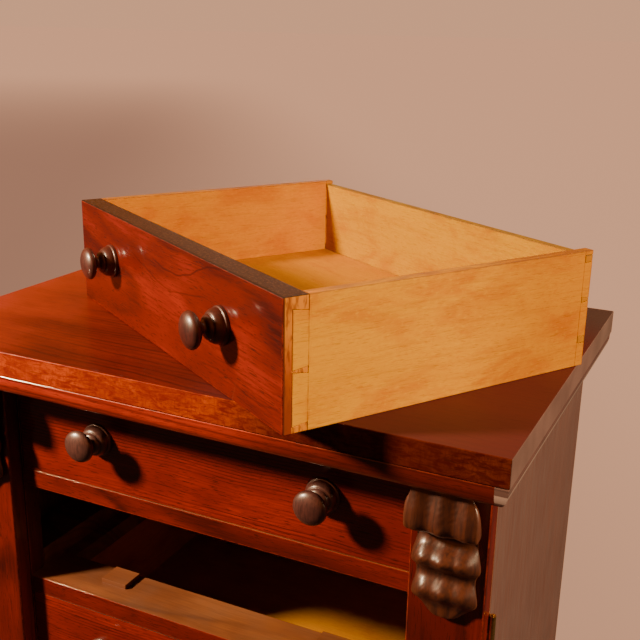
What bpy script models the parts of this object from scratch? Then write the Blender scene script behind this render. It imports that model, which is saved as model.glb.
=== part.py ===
"""A wellington chest: a tall narrow chest of seven dovetailed drawers under a moulded top.

The left pilaster is fixed. The right one is hinged at its outer edge and carries the lock, whose bolt
slides up through a staple on the stile behind it. Drawer 2 is out of its bay and lies askew on the top.
Metres, +Z up, the front faces -Y. Sizes are worked out from the values below, with x counted from the
chest's centre line, y from the top's front edge and z from the floor. The origin is the bottom centre
of everything, the laid drawer included.
"""

import math

import bmesh
import bpy
import numpy as np
from mathutils import Matrix, Vector

# Clearances
SEAT_GAP = 0.0003          # between two pieces that rest on or fit into each other
DRAWER_SIDE_GAP = 0.0010   # on each side of a drawer in its opening
DRAWER_TOP_GAP = 0.0012    # above a drawer in its opening
SWING_GAP = 0.0010         # above and below the hinged pilaster
CUT_PAST = 0.002           # how far a cutter runs beyond the wood it cuts
DEEP_CUT_PAST = 0.010      # the same for the cutters that shape a whole drawer box
TOUCHING = 0.00001         # points nearer than this are one point

# Top board and the moulding beneath it
TOP_OVERHANG = 0.022       # beyond the body at the sides
TOP_THICK = 0.024
TOP_EDGE_ROUND = 0.0008
SUBTOP_THICK = 0.0195
SUBTOP_INSET = 0.0010      # the moulding's widest line, inside the top board's edge
THUMB_FILLET = 0.0012      # flat at the head of the thumb moulding
THUMB_REACH = 0.0100       # how far the moulding curls in

# Carcase
BODY_REAR_INSET = 0.012    # rear of the body, inside the top board's rear edge
SIDE_THICK = 0.020
STILE_WIDTH = 0.0455       # from the drawers' opening to the side
STILE_THICK = 0.020
BACK_THICK = 0.0085
BACK_REBATE_WIDTH = 0.008
PILASTER_FRONT = 0.042     # y of the pilasters' face
PILASTER_THICK = 0.018
PILASTER_CLEAR = 0.0005    # from the drawers' opening to the pilasters
PILASTER_EDGE_ROUND = 0.0012
HOUSING_DEPTH = 0.005      # groove in a side that holds a rail and its runner

# Drawers
DRAWER_COUNT = 7
LAID_DRAWER = 2
DRAWER_WIDTH = 0.423
DRAWER_DEPTH = 0.3095
DRAWER_REAR_SPACE = 0.0197 # between a closed drawer and the back panel
DRAWER_HEIGHT = 0.105
FRONT_THICK = 0.0216
FRONT_EDGE_ROUND = 0.0006
DRAWER_SIDE_THICK = 0.0095
DRAWER_BACK_THICK = 0.0085
DRAWER_BACK_DROP = 0.0040  # the back's top edge, below the sides'
DRAWER_BOTTOM_THICK = 0.0060
DRAWER_BOTTOM_RISE = 0.0150
GROOVE_DEPTH = 0.0040
LAP_THICK = 0.0080         # wood left in front of the front's dovetails
PIN_NARROW = 0.0018
PIN_WIDE = 0.0056
TAIL_SLOPE = 1 / 7
PIN_HEIGHT = 0.048         # the front's one full pin, above the drawer's lower edge
TOP_HALF_PIN = 0.0120
BOTTOM_HALF_PIN = 0.0070
KNOB_INSET = 0.088         # left knob, from the drawer's left end
KNOB_SPACING = 0.240
KNOB_HEIGHT = 0.058
# Drawers whose knobs were bored off the others' line: how far along and up
KNOBS_OFF_LINE = {1: (0.0100, -0.0060)}

# Rails, runners, guides and stops
RAIL_THICK = 0.0185
RAIL_DEPTH = 0.050
RUNNER_LAP = 0.016         # how far a runner reaches under a drawer's side
GUIDE_HEIGHT = 0.020
STOP_SIZE = (0.030, 0.025, 0.0050)
STOP_INSET = 0.090         # stop's centre, from the drawer opening's side

# Plinth
PLINTH_HEIGHT = 0.090
PLINTH_THICK = 0.036
PLINTH_REACH = 0.014       # beyond the body at the sides
PLINTH_FRONT_REACH = 0.012
PLINTH_OVOLO = 0.010
GLUE_BLOCK_LEG = 0.045

# Turned knobs
BALL_RADIUS = 0.0158
BALL_HALF_THICK = 0.0070
BALL_CENTRE = 0.0268       # in front of the drawer's face
NECK_RADIUS = 0.0056
NECK_END = 0.0185
# Between neck and flange: radius, and distance in front of the drawer's face
BELL = ((0.0062, 0.0152), (0.0098, 0.0134), (0.0112, 0.0107), (0.0141, 0.0072), (0.0150, 0.0040))
FLANGE_RADIUS = 0.0163
FLANGE_THICK = 0.0030
SPIGOT_RADIUS = 0.0050
SPIGOT_LENGTH = 0.0150
KNOB_SIDES = 12

# Carved corbels
CORBEL_WIDTH = 0.062
CORBEL_HEIGHT = 0.1225
CORBEL_REACH = 0.0310
CORBEL_EDGE = 0.0030       # thickness left at its outline
CORBEL_COLUMNS = 12
CORBEL_ROWS = 24
# Shares of its width and of its reach at rows counted down from its head
OUTLINE_ROWS = (0, 8, 9, 15, 16, 21, 22, 24)
OUTLINE_WIDTHS = (1.0, 1.0, 0.74, 1.0, 0.74, 0.96, 0.66, 0.34)
SCROLL_ROWS = (0, 2, 4, 6, 7, 8, 9)
SCROLL_HEIGHTS = (0.80, 0.88, 0.96, 1.0, 0.97, 0.80, 0.0)
LEAF_LOBES = ((0.66, 0.55), (0.48, 0.80))      # height of each, and place as a part of its height
LOBE_SPREAD = 0.095
CARVED_GROUND = 0.16       # least height of the carving
SCROLL_CROWN_FALL = 0.08   # from the corbel's middle to its edge
LEAF_CROWN_FALL = 0.85
FLUTE_DEPTH = 0.16
FLUTE_COUNT = 3

# Butt hinges and lock
HINGE_HEIGHT = 0.050
HINGE_END_INSET = 0.150    # hinge's middle, from the pilaster's end
LEAF_WIDTH = 0.0175
LEAF_THICK = 0.0012
BARREL_RADIUS = 0.0028
BARREL_BORE = 0.0015
HINGE_PIN_RADIUS = 0.0012
LOCK_CASE_SIZE = (0.032, 0.0100, 0.050)
LOCK_WALL = 0.0022
BOLT_SIZE = (0.0060, 0.0042, 0.0140)
BOLT_THROW = 0.0060
STAPLE_BAR = 0.0020
STRIKE_PLATE = (0.024, 0.0015, 0.040)
ESCUTCHEON_RADIUS = 0.0110
ESCUTCHEON_THICK = 0.0015
PLATE_SIDES = 20
KEYHOLE_RADIUS = 0.0022
KEYHOLE_SLOT = (0.0022, 0.0090)
ROUND_SIDES = 12           # of barrels and hinge pins
POCKET_HALF = 0.008        # of the staple's pocket in the lock
POCKET_HEADROOM = 0.003

# Drawer taken out: where the middle of its front's lower edge lies on the top, and its turn
LAID_X = -0.0398
LAID_Y = 0.0700
LAID_TURN = math.radians(-31.82)

# Heights and depths that follow
DRAWER_RUN_GAP = SEAT_GAP
OPENING_HEIGHT = DRAWER_HEIGHT + DRAWER_RUN_GAP + DRAWER_TOP_GAP
OPENING_HALF = DRAWER_WIDTH / 2 + DRAWER_SIDE_GAP
SIDE_INNER = OPENING_HALF + STILE_WIDTH
BODY_HALF = SIDE_INNER + SIDE_THICK
TOP_WIDTH = 2 * (BODY_HALF + TOP_OVERHANG)
FACE_Y = PILASTER_FRONT + PILASTER_THICK
BACK_FRONT = FACE_Y + DRAWER_DEPTH + DRAWER_REAR_SPACE
BODY_REAR = BACK_FRONT + BACK_THICK + SEAT_GAP
TOP_DEPTH = BODY_REAR + BODY_REAR_INSET
RUNNER_REAR = BACK_FRONT - SEAT_GAP
STILE_REAR = FACE_Y + STILE_THICK
RAIL_REAR = FACE_Y + RAIL_DEPTH
BODY_TOP = PLINTH_HEIGHT + RAIL_THICK + DRAWER_COUNT * OPENING_HEIGHT + (DRAWER_COUNT - 1) * RAIL_THICK
SUBTOP_TOP = BODY_TOP + SUBTOP_THICK
HEIGHT = SUBTOP_TOP + TOP_THICK
PILASTER_INNER = OPENING_HALF + PILASTER_CLEAR
PILASTER_REAR = FACE_Y - SEAT_GAP
HINGE_X = BODY_HALF + SEAT_GAP + BARREL_RADIUS
HINGE_Y = FACE_Y - SEAT_GAP / 2
LOCK_X = (PILASTER_INNER + BODY_HALF) / 2
LOCK_Z = (PLINTH_HEIGHT + BODY_TOP) / 2


def footprint_centre():
    """Middle of the outline from above: the top board and the drawer that overhangs it."""
    xs = [-TOP_WIDTH / 2, TOP_WIDTH / 2]
    ys = [0.0, TOP_DEPTH]
    turn = Matrix.Rotation(LAID_TURN, 2)
    for along in (-DRAWER_WIDTH / 2, DRAWER_WIDTH / 2):
        for back in (0.0, DRAWER_DEPTH):
            corner = turn @ Vector((along, back))
            xs.append(LAID_X + corner.x)
            ys.append(LAID_Y + corner.y)
    return (min(xs) + max(xs)) / 2, (min(ys) + max(ys)) / 2


def clear_scene():
    for obj in list(bpy.data.objects):
        bpy.data.objects.remove(obj, do_unlink=True)


def new_collection(name):
    collection = bpy.data.collections.new(name)
    bpy.context.scene.collection.children.link(collection)
    return collection


def new_material(name, colour, roughness, metallic=0.0):
    material = bpy.data.materials.new(name)
    material.use_nodes = True
    shader = material.node_tree.nodes["Principled BSDF"]
    shader.inputs["Base Color"].default_value = (*colour, 1.0)
    shader.inputs["Roughness"].default_value = roughness
    shader.inputs["Metallic"].default_value = metallic
    return material


def new_empty(name, location, parent=None, turn=0.0):
    empty = bpy.data.objects.new(name, None)
    chest.objects.link(empty)
    empty.location = location
    empty.rotation_euler = (0.0, 0.0, turn)
    empty.parent = parent
    return empty


def new_piece(name, mesh, material, parent, location=(0, 0, 0)):
    """Puts a mesh in the chest as one named piece with a material of its own."""
    piece = bpy.data.objects.new(name, mesh)
    chest.objects.link(piece)
    piece.parent = parent
    piece.location = location
    if not mesh.materials:
        mesh.materials.append(material)
    return piece


def loose_piece(name, mesh):
    """A piece still being made, away from the chest, which solid_of turns into its mesh."""
    piece = bpy.data.objects.new(name, mesh)
    cutters.objects.link(piece)
    return piece


def new_cutter(name, mesh, parent=None, location=(0, 0, 0)):
    cutter = bpy.data.objects.new(name, mesh)
    cutters.objects.link(cutter)
    cutter.parent = parent
    cutter.location = location
    cutter.display_type = "WIRE"
    cutter.hide_render = True
    return cutter


def combine(piece, other, operation="DIFFERENCE"):
    boolean = piece.modifiers.new(operation.title(), "BOOLEAN")
    boolean.operation = operation
    boolean.solver = "EXACT"
    boolean.object = other


def round_edges(piece, width, segments=1):
    bevel = piece.modifiers.new("Worn edges", "BEVEL")
    bevel.width = width
    bevel.segments = segments
    bevel.limit_method = "ANGLE"
    bevel.angle_limit = math.radians(40)


def box_mesh(name, *boxes):
    """Mesh of one or more boxes, each a pair of opposite corners."""
    shape = bmesh.new()
    for low, high in boxes:
        low, high = Vector(low), Vector(high)
        size = high - low
        place = Matrix.Translation((low + high) / 2) @ Matrix.Diagonal((*size, 1.0))
        bmesh.ops.create_cube(shape, size=1.0, matrix=place)
    return finished_mesh(name, shape)


def cylinder_mesh(name, radius, length, sides, axis="Z"):
    """Cylinder centred on the origin, its length along the axis."""
    turn = {"X": Matrix.Rotation(math.pi / 2, 4, "Y"), "Y": Matrix.Rotation(math.pi / 2, 4, "X")}
    shape = bmesh.new()
    bmesh.ops.create_cone(
        shape,
        cap_ends=True,
        segments=sides,
        radius1=radius,
        radius2=radius,
        depth=length,
        matrix=turn.get(axis, Matrix.Identity(4)),
    )
    return finished_mesh(name, shape)


def finished_mesh(name, shape):
    mesh = bpy.data.meshes.new(name)
    shape.to_mesh(mesh)
    shape.free()
    return mesh


def solid_of(piece):
    """Mesh of an object as its modifiers leave it. The object and its cutters are removed."""
    bpy.context.view_layer.update()
    graph = bpy.context.evaluated_depsgraph_get()
    mesh = bpy.data.meshes.new_from_object(piece.evaluated_get(graph))
    mesh.name = piece.name
    tools = [modifier.object for modifier in piece.modifiers if modifier.type == "BOOLEAN"]
    for spent in [piece, *tools]:
        bpy.data.objects.remove(spent, do_unlink=True)
    return mesh


def outline_mesh(name, outline, thickness, axis="Z"):
    """A flat outline given thickness, centred on the plane through the origin across the axis.

    The outline's two numbers are x, y for axis Z, y, z for axis X, and x, z for axis Y.
    """
    curve = bpy.data.curves.new(name, "CURVE")
    curve.dimensions = "2D"
    curve.fill_mode = "BOTH"
    curve.extrude = thickness / 2
    line = curve.splines.new("POLY")
    line.points.add(len(outline) - 1)
    for point, (across, up) in zip(line.points, outline):
        point.co = (across, up, 0.0, 1.0)
    line.use_cyclic_u = True
    mesh = solid_of(loose_piece(name, curve))
    bpy.data.curves.remove(curve)
    shape = bmesh.new()
    shape.from_mesh(mesh)
    bmesh.ops.remove_doubles(shape, verts=shape.verts, dist=TOUCHING)
    turn = {
        "X": Matrix(((0, 0, 1), (1, 0, 0), (0, 1, 0))),
        "Y": Matrix(((1, 0, 0), (0, 0, -1), (0, 1, 0))),
        "Z": Matrix.Identity(3),
    }[axis]
    bmesh.ops.transform(shape, matrix=turn.to_4x4(), verts=shape.verts)
    bmesh.ops.recalc_face_normals(shape, faces=shape.faces)
    shape.to_mesh(mesh)
    shape.free()
    return mesh


def quarter_round(centre, radius_across, radius_up, start, end, steps):
    """Points of an elliptical arc, angles in degrees."""
    for step in range(steps + 1):
        angle = math.radians(start + (end - start) * step / steps)
        yield (
            centre[0] + radius_across * math.cos(angle),
            centre[1] + radius_up * math.sin(angle),
        )


def moulded_board_mesh(name, section, half_width, front, rear):
    """A board with a moulding worked round its front and side edges, and a plain rear edge.

    Each point of the section is a distance in from the outer face and a height, foot first.
    """
    shape = bmesh.new()
    middle = (front + rear) / 2
    bmesh.ops.create_grid(shape, x_segments=1, y_segments=1, size=1.0)
    for corner in shape.verts:
        corner.co.y += middle
    layer = shape.faces[:]
    for step, (inward, height) in enumerate(section):
        if step:
            raised = bmesh.ops.extrude_face_region(shape, geom=layer)["geom"]
            if step > 1:
                bmesh.ops.delete(shape, geom=layer, context="FACES_ONLY")
            layer = [item for item in raised if isinstance(item, bmesh.types.BMFace)]
        for corner in layer[0].verts:
            across = math.copysign(half_width - inward, corner.co.x)
            corner.co = (across, rear if corner.co.y > middle else front + inward, height)
    bmesh.ops.recalc_face_normals(shape, faces=shape.faces)
    return finished_mesh(name, shape)


def tails_about(low, high, pin):
    """Root lines of two tails between heights, with one full pin between them."""
    return [(low, pin - PIN_WIDE / 2), (pin + PIN_WIDE / 2, high)]


def tail_flare(length):
    """How much wider a tail is at its end than at its root, on each edge."""
    return min(length * TAIL_SLOPE, (PIN_WIDE - PIN_NARROW) / 2)


BACK_LOW = DRAWER_BOTTOM_RISE + DRAWER_BOTTOM_THICK + SEAT_GAP
BACK_HIGH = DRAWER_HEIGHT - DRAWER_BACK_DROP
FRONT_TAILS = tails_about(BOTTOM_HALF_PIN, DRAWER_HEIGHT - TOP_HALF_PIN, PIN_HEIGHT)
BACK_TAILS = tails_about(BACK_LOW + BOTTOM_HALF_PIN, BACK_HIGH - BOTTOM_HALF_PIN, (BACK_LOW + BACK_HIGH) / 2)


def drawer_side_outline():
    """Side of a drawer seen from the side, with tails into the front and the back."""
    root = FRONT_THICK
    tip = LAP_THICK + SEAT_GAP
    flare = tail_flare(root - tip)
    points = [(root + SEAT_GAP, 0.0)]
    rear = DRAWER_DEPTH
    rear_root = DRAWER_DEPTH - DRAWER_BACK_THICK
    rear_flare = tail_flare(DRAWER_BACK_THICK)
    shoulder = rear_root - SEAT_GAP
    points += [(rear, 0.0), (rear, BACK_LOW - SEAT_GAP), (shoulder, BACK_LOW - SEAT_GAP)]
    for low, high in BACK_TAILS:
        points += [(shoulder, low), (rear, low - rear_flare), (rear, high + rear_flare), (shoulder, high)]
    points += [(shoulder, BACK_HIGH + SEAT_GAP), (rear, BACK_HIGH + SEAT_GAP)]
    points += [(rear, DRAWER_HEIGHT), (root + SEAT_GAP, DRAWER_HEIGHT)]
    for low, high in reversed(FRONT_TAILS):
        points += [(root + SEAT_GAP, high), (tip, high + flare), (tip, low - flare), (root + SEAT_GAP, low)]
    return points


def socket_cutters(piece, tails, root, tip, rear_open):
    """Cuts a board for the tails of both sides, with a seat gap all round."""
    grow = SEAT_GAP
    length = abs(tip - root)
    flare = tail_flare(length)
    toward = 1 if tip > root else -1
    past = toward * (CUT_PAST if rear_open else grow)
    reach = DRAWER_SIDE_THICK + SEAT_GAP
    for side in (-1, 1):
        for low, high in tails:
            slope = flare / length
            start = root - toward * CUT_PAST
            outline = [
                (start, low - grow + slope * CUT_PAST),
                (tip + past, low - flare - grow - slope * abs(past)),
                (tip + past, high + flare + grow + slope * abs(past)),
                (start, high + grow - slope * CUT_PAST),
            ]
            mesh = outline_mesh("Socket cutter", outline, reach + CUT_PAST, "X")
            place = side * (DRAWER_WIDTH / 2 - reach / 2 + CUT_PAST / 2)
            combine(piece, new_cutter("Socket cutter", mesh, None, (place, 0, 0)))


def drawer_front_mesh(number):
    """Front board: lapped sockets at both ends, a groove for the bottom and two knob holes."""
    half = DRAWER_WIDTH / 2
    shape = bmesh.new()
    board = box_mesh("drawer_front", ((-half, 0, 0), (half, FRONT_THICK, DRAWER_HEIGHT)))
    shape.from_mesh(board)
    face_edges = [edge for edge in shape.edges if all(end.co.y < TOUCHING for end in edge.verts)]
    bmesh.ops.bevel(shape, geom=face_edges, offset=FRONT_EDGE_ROUND, segments=1, affect="EDGES")
    shape.to_mesh(board)
    shape.free()
    piece = loose_piece("drawer_front", board)
    socket_cutters(piece, FRONT_TAILS, FRONT_THICK, LAP_THICK + SEAT_GAP, rear_open=False)
    inner = half - DRAWER_SIDE_THICK - SEAT_GAP
    groove = box_mesh(
        "Groove cutter",
        (
            (-inner, FRONT_THICK - GROOVE_DEPTH, DRAWER_BOTTOM_RISE - SEAT_GAP),
            (inner, FRONT_THICK + CUT_PAST, BACK_LOW),
        ),
    )
    combine(piece, new_cutter("Groove cutter", groove))
    hole_length = 2 * (SPIGOT_LENGTH + SEAT_GAP)
    for place in knob_places(number):
        hole = cylinder_mesh("Knob hole", SPIGOT_RADIUS + SEAT_GAP, hole_length, KNOB_SIDES, "Y")
        combine(piece, new_cutter("Knob hole", hole, None, place))
    return solid_of(piece)


def drawer_side_mesh(name, side):
    """One side, grooved on its inner face for the bottom."""
    board = outline_mesh(name, drawer_side_outline(), DRAWER_SIDE_THICK, "X")
    board.transform(Matrix.Translation((side * (DRAWER_WIDTH - DRAWER_SIDE_THICK) / 2, 0, 0)))
    piece = loose_piece(name, board)
    inner = side * (DRAWER_WIDTH / 2 - DRAWER_SIDE_THICK)
    near, far = sorted((inner - side * CUT_PAST, inner + side * GROOVE_DEPTH))
    low_corner = (near, LAP_THICK, DRAWER_BOTTOM_RISE - SEAT_GAP)
    groove = box_mesh("Groove cutter", (low_corner, (far, DRAWER_DEPTH + CUT_PAST, BACK_LOW)))
    combine(piece, new_cutter("Groove cutter", groove))
    return solid_of(piece)


def drawer_box_mesh():
    """Sides, back and bottom of a drawer glued up as one, its tails ready for the front."""
    half = DRAWER_WIDTH / 2
    inner = half - DRAWER_SIDE_THICK
    tip = LAP_THICK + SEAT_GAP
    root = FRONT_THICK + SEAT_GAP
    tongue = FRONT_THICK - GROOVE_DEPTH + SEAT_GAP
    back_front = DRAWER_DEPTH - DRAWER_BACK_THICK
    floor = DRAWER_BOTTOM_RISE + DRAWER_BOTTOM_THICK
    past = DEEP_CUT_PAST
    block = box_mesh("drawer_box", ((-half, tip, 0), (half, DRAWER_DEPTH, DRAWER_HEIGHT)))
    piece = loose_piece("drawer_box", block)
    spaces = [
        ((-inner, tongue, floor), (inner, back_front, DRAWER_HEIGHT + past)),
        ((-inner, tip - past, -past), (inner, tongue, DRAWER_HEIGHT + past)),
        ((-inner, tip - past, -2 * past), (inner, DRAWER_DEPTH + past, DRAWER_BOTTOM_RISE)),
        ((-inner, tongue - past, -past), (-inner + 2 * SEAT_GAP, root, DRAWER_HEIGHT + 3 * past)),
        ((inner - 2 * SEAT_GAP, tongue - past, -past), (inner, root, DRAWER_HEIGHT + 3 * past)),
        ((-inner, back_front - past, BACK_HIGH), (inner, DRAWER_DEPTH + past, DRAWER_HEIGHT + 2 * past)),
    ]
    for space in spaces:
        combine(piece, new_cutter("Drawer space", box_mesh("Drawer space", space)))
    flare = tail_flare(root - tip)
    slope = flare / (root - tip)
    (low, pin_low), (pin_high, high) = FRONT_TAILS
    beyond = slope * past
    gaps = [
        [(root, -past), (root, low), (tip - past, low - flare - beyond), (tip - past, -past)],
        [
            (root, pin_low),
            (root, pin_high),
            (tip - past, pin_high - flare - beyond / 4),
            (tip - past, pin_low + flare + beyond / 4),
        ],
        [
            (root, high),
            (root, DRAWER_HEIGHT + past),
            (tip - past, DRAWER_HEIGHT + past),
            (tip - past, high + flare + beyond),
        ],
    ]
    for gap in gaps:
        combine(piece, new_cutter("Pin space", outline_mesh("Pin space", gap, DRAWER_WIDTH + past, "X")))
    return solid_of(piece)


def drawer_back_mesh():
    """Back board with through pins, above the bottom and a little lower than the sides."""
    half = DRAWER_WIDTH / 2
    front = DRAWER_DEPTH - DRAWER_BACK_THICK
    board = box_mesh("drawer_back", ((-half, front, BACK_LOW), (half, DRAWER_DEPTH, BACK_HIGH)))
    piece = loose_piece("drawer_back", board)
    socket_cutters(piece, BACK_TAILS, front, DRAWER_DEPTH, rear_open=True)
    return solid_of(piece)


def drawer_bottom_mesh():
    """Bottom board, held in the grooves and run out under the back."""
    half = DRAWER_WIDTH / 2 - DRAWER_SIDE_THICK + GROOVE_DEPTH - SEAT_GAP
    inner = DRAWER_WIDTH / 2 - DRAWER_SIDE_THICK - 2 * SEAT_GAP
    front = FRONT_THICK + SEAT_GAP
    tongue = FRONT_THICK - GROOVE_DEPTH + SEAT_GAP
    outline = [
        (-inner, tongue),
        (inner, tongue),
        (inner, front),
        (half, front),
        (half, DRAWER_DEPTH),
        (-half, DRAWER_DEPTH),
        (-half, front),
        (-inner, front),
    ]
    board = outline_mesh("drawer_bottom", outline, DRAWER_BOTTOM_THICK)
    board.transform(Matrix.Translation((0, 0, DRAWER_BOTTOM_RISE + DRAWER_BOTTOM_THICK / 2)))
    return board


def knob_places(number):
    """Axes of a drawer's left and right knob, from the middle of its front's lower edge."""
    along, up = KNOBS_OFF_LINE.get(number, (0.0, 0.0))
    first = KNOB_INSET - DRAWER_WIDTH / 2 + along
    height = KNOB_HEIGHT + up
    return (first, 0, height), (first + KNOB_SPACING, 0, height)


def knob_profile():
    """Half section of a knob, tip to spigot: radius, and distance in front of the drawer's face."""
    centre = (0.0, BALL_CENTRE)
    ball = list(quarter_round(centre, BALL_RADIUS, BALL_HALF_THICK, 90, -54, 6))
    tip = [(0.0, ball[0][1])]
    points = tip + ball[1:] + [(NECK_RADIUS, NECK_END), *BELL]
    points += [(FLANGE_RADIUS, FLANGE_THICK), (FLANGE_RADIUS, SEAT_GAP), (SPIGOT_RADIUS, SEAT_GAP)]
    points += [(SPIGOT_RADIUS, -SPIGOT_LENGTH), (0.0, -SPIGOT_LENGTH)]
    return points


def turned_mesh(name, profile, sides):
    """A half section spun about the Z axis."""
    curve = bpy.data.meshes.new(name)
    edges = [(n, n + 1) for n in range(len(profile) - 1)]
    curve.from_pydata([(radius, 0.0, along) for radius, along in profile], edges, [])
    piece = loose_piece(name, curve)
    screw = piece.modifiers.new("Turning", "SCREW")
    screw.steps = sides
    screw.render_steps = sides
    screw.use_merge_vertices = True
    screw.merge_threshold = TOUCHING
    screw.use_smooth_shade = True
    return solid_of(piece)


def knob_mesh():
    """A turned knob, its axis square to the drawer's face."""
    knob = turned_mesh("knob", knob_profile(), KNOB_SIDES)
    knob.transform(Matrix.Rotation(math.pi / 2, 4, "X"))
    knob.shade_smooth()
    knob.set_sharp_from_angle(angle=math.radians(50))
    return knob


def bay_floor(number):
    """Height of the surface that drawer number runs on, drawer 1 at the top."""
    return BODY_TOP - number * OPENING_HEIGHT - (number - 1) * RAIL_THICK


def build_drawers(frame):
    knob = knob_mesh()
    box = drawer_box_mesh()
    laid_parts = {
        "side_left": drawer_side_mesh("side_left", -1),
        "side_right": drawer_side_mesh("side_right", 1),
        "back": drawer_back_mesh(),
        "bottom": drawer_bottom_mesh(),
    }
    plain_front = drawer_front_mesh(LAID_DRAWER)
    for number in range(1, DRAWER_COUNT + 1):
        name = f"drawer_{number}"
        if number == LAID_DRAWER:
            place = new_empty(f"{name}_place", (LAID_X, LAID_Y, HEIGHT + SEAT_GAP), frame, LAID_TURN)
            parts = laid_parts
        else:
            place = new_empty(f"{name}_place", (0, FACE_Y, bay_floor(number) + DRAWER_RUN_GAP), frame)
            parts = {"box": box}
        front = drawer_front_mesh(number) if number in KNOBS_OFF_LINE else plain_front
        new_piece(f"{name}_front", front, mahogany, place)
        for part, mesh in parts.items():
            new_piece(f"{name}_{part}", mesh, drawer_wood, place)
        for side, knob_place in zip(("left", "right"), knob_places(number)):
            new_piece(f"{name}_knob_{side}", knob, knob_wood, place, knob_place)


def build_top(frame):
    half = TOP_WIDTH / 2
    low = SUBTOP_TOP + SEAT_GAP
    board = box_mesh("top_board", ((-half, 0, low), (half, TOP_DEPTH, HEIGHT)))
    round_edges(new_piece("top_board", board, mahogany, frame), TOP_EDGE_ROUND)

    fillet_low = SUBTOP_TOP - THUMB_FILLET
    curl = quarter_round((THUMB_REACH, fillet_low), THUMB_REACH, fillet_low - BODY_TOP, 270, 180, 6)
    section = [*curl, (0.0, SUBTOP_TOP)]
    subtop = moulded_board_mesh("moulded_subtop", section, half - SUBTOP_INSET, SUBTOP_INSET, TOP_DEPTH)
    new_piece("moulded_subtop", subtop, mahogany, frame)


def build_sides(frame):
    low = PLINTH_HEIGHT + SEAT_GAP
    high = BODY_TOP - SEAT_GAP
    for name, side in (("side_left", -1), ("side_right", 1)):
        ends = sorted((side * SIDE_INNER, side * BODY_HALF))
        mesh = box_mesh(name, ((ends[0], FACE_Y, low), (ends[1], BODY_REAR, high)))
        panel = new_piece(name, mesh, mahogany, frame)
        past_face = side * (SIDE_INNER - CUT_PAST)
        inner = sorted((past_face, side * (SIDE_INNER + HOUSING_DEPTH)))
        grooves = []
        for number in range(1, DRAWER_COUNT):
            floor = bay_floor(number)
            grooves.append((
                (inner[0], STILE_REAR, floor - RAIL_THICK - SEAT_GAP),
                (inner[1], BODY_REAR + CUT_PAST, floor + SEAT_GAP),
            ))
        combine(panel, new_cutter(f"Housing cutter {name}", box_mesh("Housing cutter", *grooves), frame))
        inner = sorted((past_face, side * (SIDE_INNER + BACK_REBATE_WIDTH + SEAT_GAP)))
        low_corner = (inner[0], BACK_FRONT - SEAT_GAP, 0)
        rebate = box_mesh("Rebate cutter", (low_corner, (inner[1], BODY_REAR + CUT_PAST, HEIGHT)))
        combine(panel, new_cutter(f"Rebate cutter {name}", rebate, frame))
        if side == 1:
            place = (HINGE_X, HINGE_Y, 0)
            combine(panel, new_cutter("Fixed leaf cutter", leaf_cutter_mesh(1), frame, place))


def build_stiles(frame):
    low = PLINTH_HEIGHT + SEAT_GAP
    high = BODY_TOP - SEAT_GAP
    for name, side in (("stile_left", -1), ("stile_right", 1)):
        near, far = sorted((side * OPENING_HALF, side * (SIDE_INNER - SEAT_GAP)))
        stile = box_mesh(name, ((near, FACE_Y, low), (far, STILE_REAR - SEAT_GAP, high)))
        piece = new_piece(name, stile, mahogany, frame)
    strike_x, strike_y, strike_z = STRIKE_PLATE
    reach = Vector((strike_x / 2 + SEAT_GAP, strike_y + 2 * SEAT_GAP, strike_z / 2 + SEAT_GAP))
    middle = Vector((LOCK_X, FACE_Y, LOCK_Z))
    recess = box_mesh("Strike recess", (middle - reach, middle + reach))
    combine(piece, new_cutter("Strike recess", recess, frame))


def guides_and_stops():
    """Guides beside the drawer and stops behind its front, standing on a surface at height 0."""
    root = -RAIL_THICK / 4
    outer = SIDE_INNER - 2 * SEAT_GAP
    stop_x, stop_y, stop_z = STOP_SIZE
    stop_front = FACE_Y + FRONT_THICK + SEAT_GAP
    boxes = []
    for side in (-1, 1):
        near, far = sorted((side * OPENING_HALF, side * outer))
        front, rear = STILE_REAR + 2 * SEAT_GAP, RUNNER_REAR - SEAT_GAP
        boxes.append(((near, front, root), (far, rear, GUIDE_HEIGHT)))
        centre = side * (OPENING_HALF - STOP_INSET)
        low_corner = (centre - stop_x / 2, stop_front, root)
        boxes.append((low_corner, (centre + stop_x / 2, stop_front + stop_y, stop_z)))
    return box_mesh("Guides and stops", *boxes)


def notched_board(half_width, thick):
    """A board from the drawers' face to the back, notched round the stiles, its top at height 0."""
    board = box_mesh("board", ((-half_width, FACE_Y, -thick), (half_width, RUNNER_REAR, 0)))
    piece = loose_piece("board", board)
    lip = OPENING_HALF - SEAT_GAP
    for side in (-1, 1):
        near, far = sorted((side * lip, side * BODY_HALF))
        notch = box_mesh("Stile notch", ((near, 0, -2 * thick), (far, STILE_REAR + SEAT_GAP, thick)))
        combine(piece, new_cutter("Stile notch", notch))
    return piece


def build_drawer_frames(frame):
    """Under each drawer but the last, a rail and two runners with their guides and stops, glued up."""
    piece = notched_board(SIDE_INNER + HOUSING_DEPTH - SEAT_GAP, RAIL_THICK)
    inner = DRAWER_WIDTH / 2 - RUNNER_LAP
    gap = box_mesh("Frame gap", ((-inner, RAIL_REAR, -2 * RAIL_THICK), (inner, BODY_REAR, RAIL_THICK)))
    combine(piece, new_cutter("Frame gap", gap))
    combine(piece, new_cutter("Guides and stops", guides_and_stops()), "UNION")
    mesh = solid_of(piece)
    for number in range(1, DRAWER_COUNT):
        new_piece(f"drawer_frame_{number}", mesh, carcase_wood, frame, (0, 0, bay_floor(number)))


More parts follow.
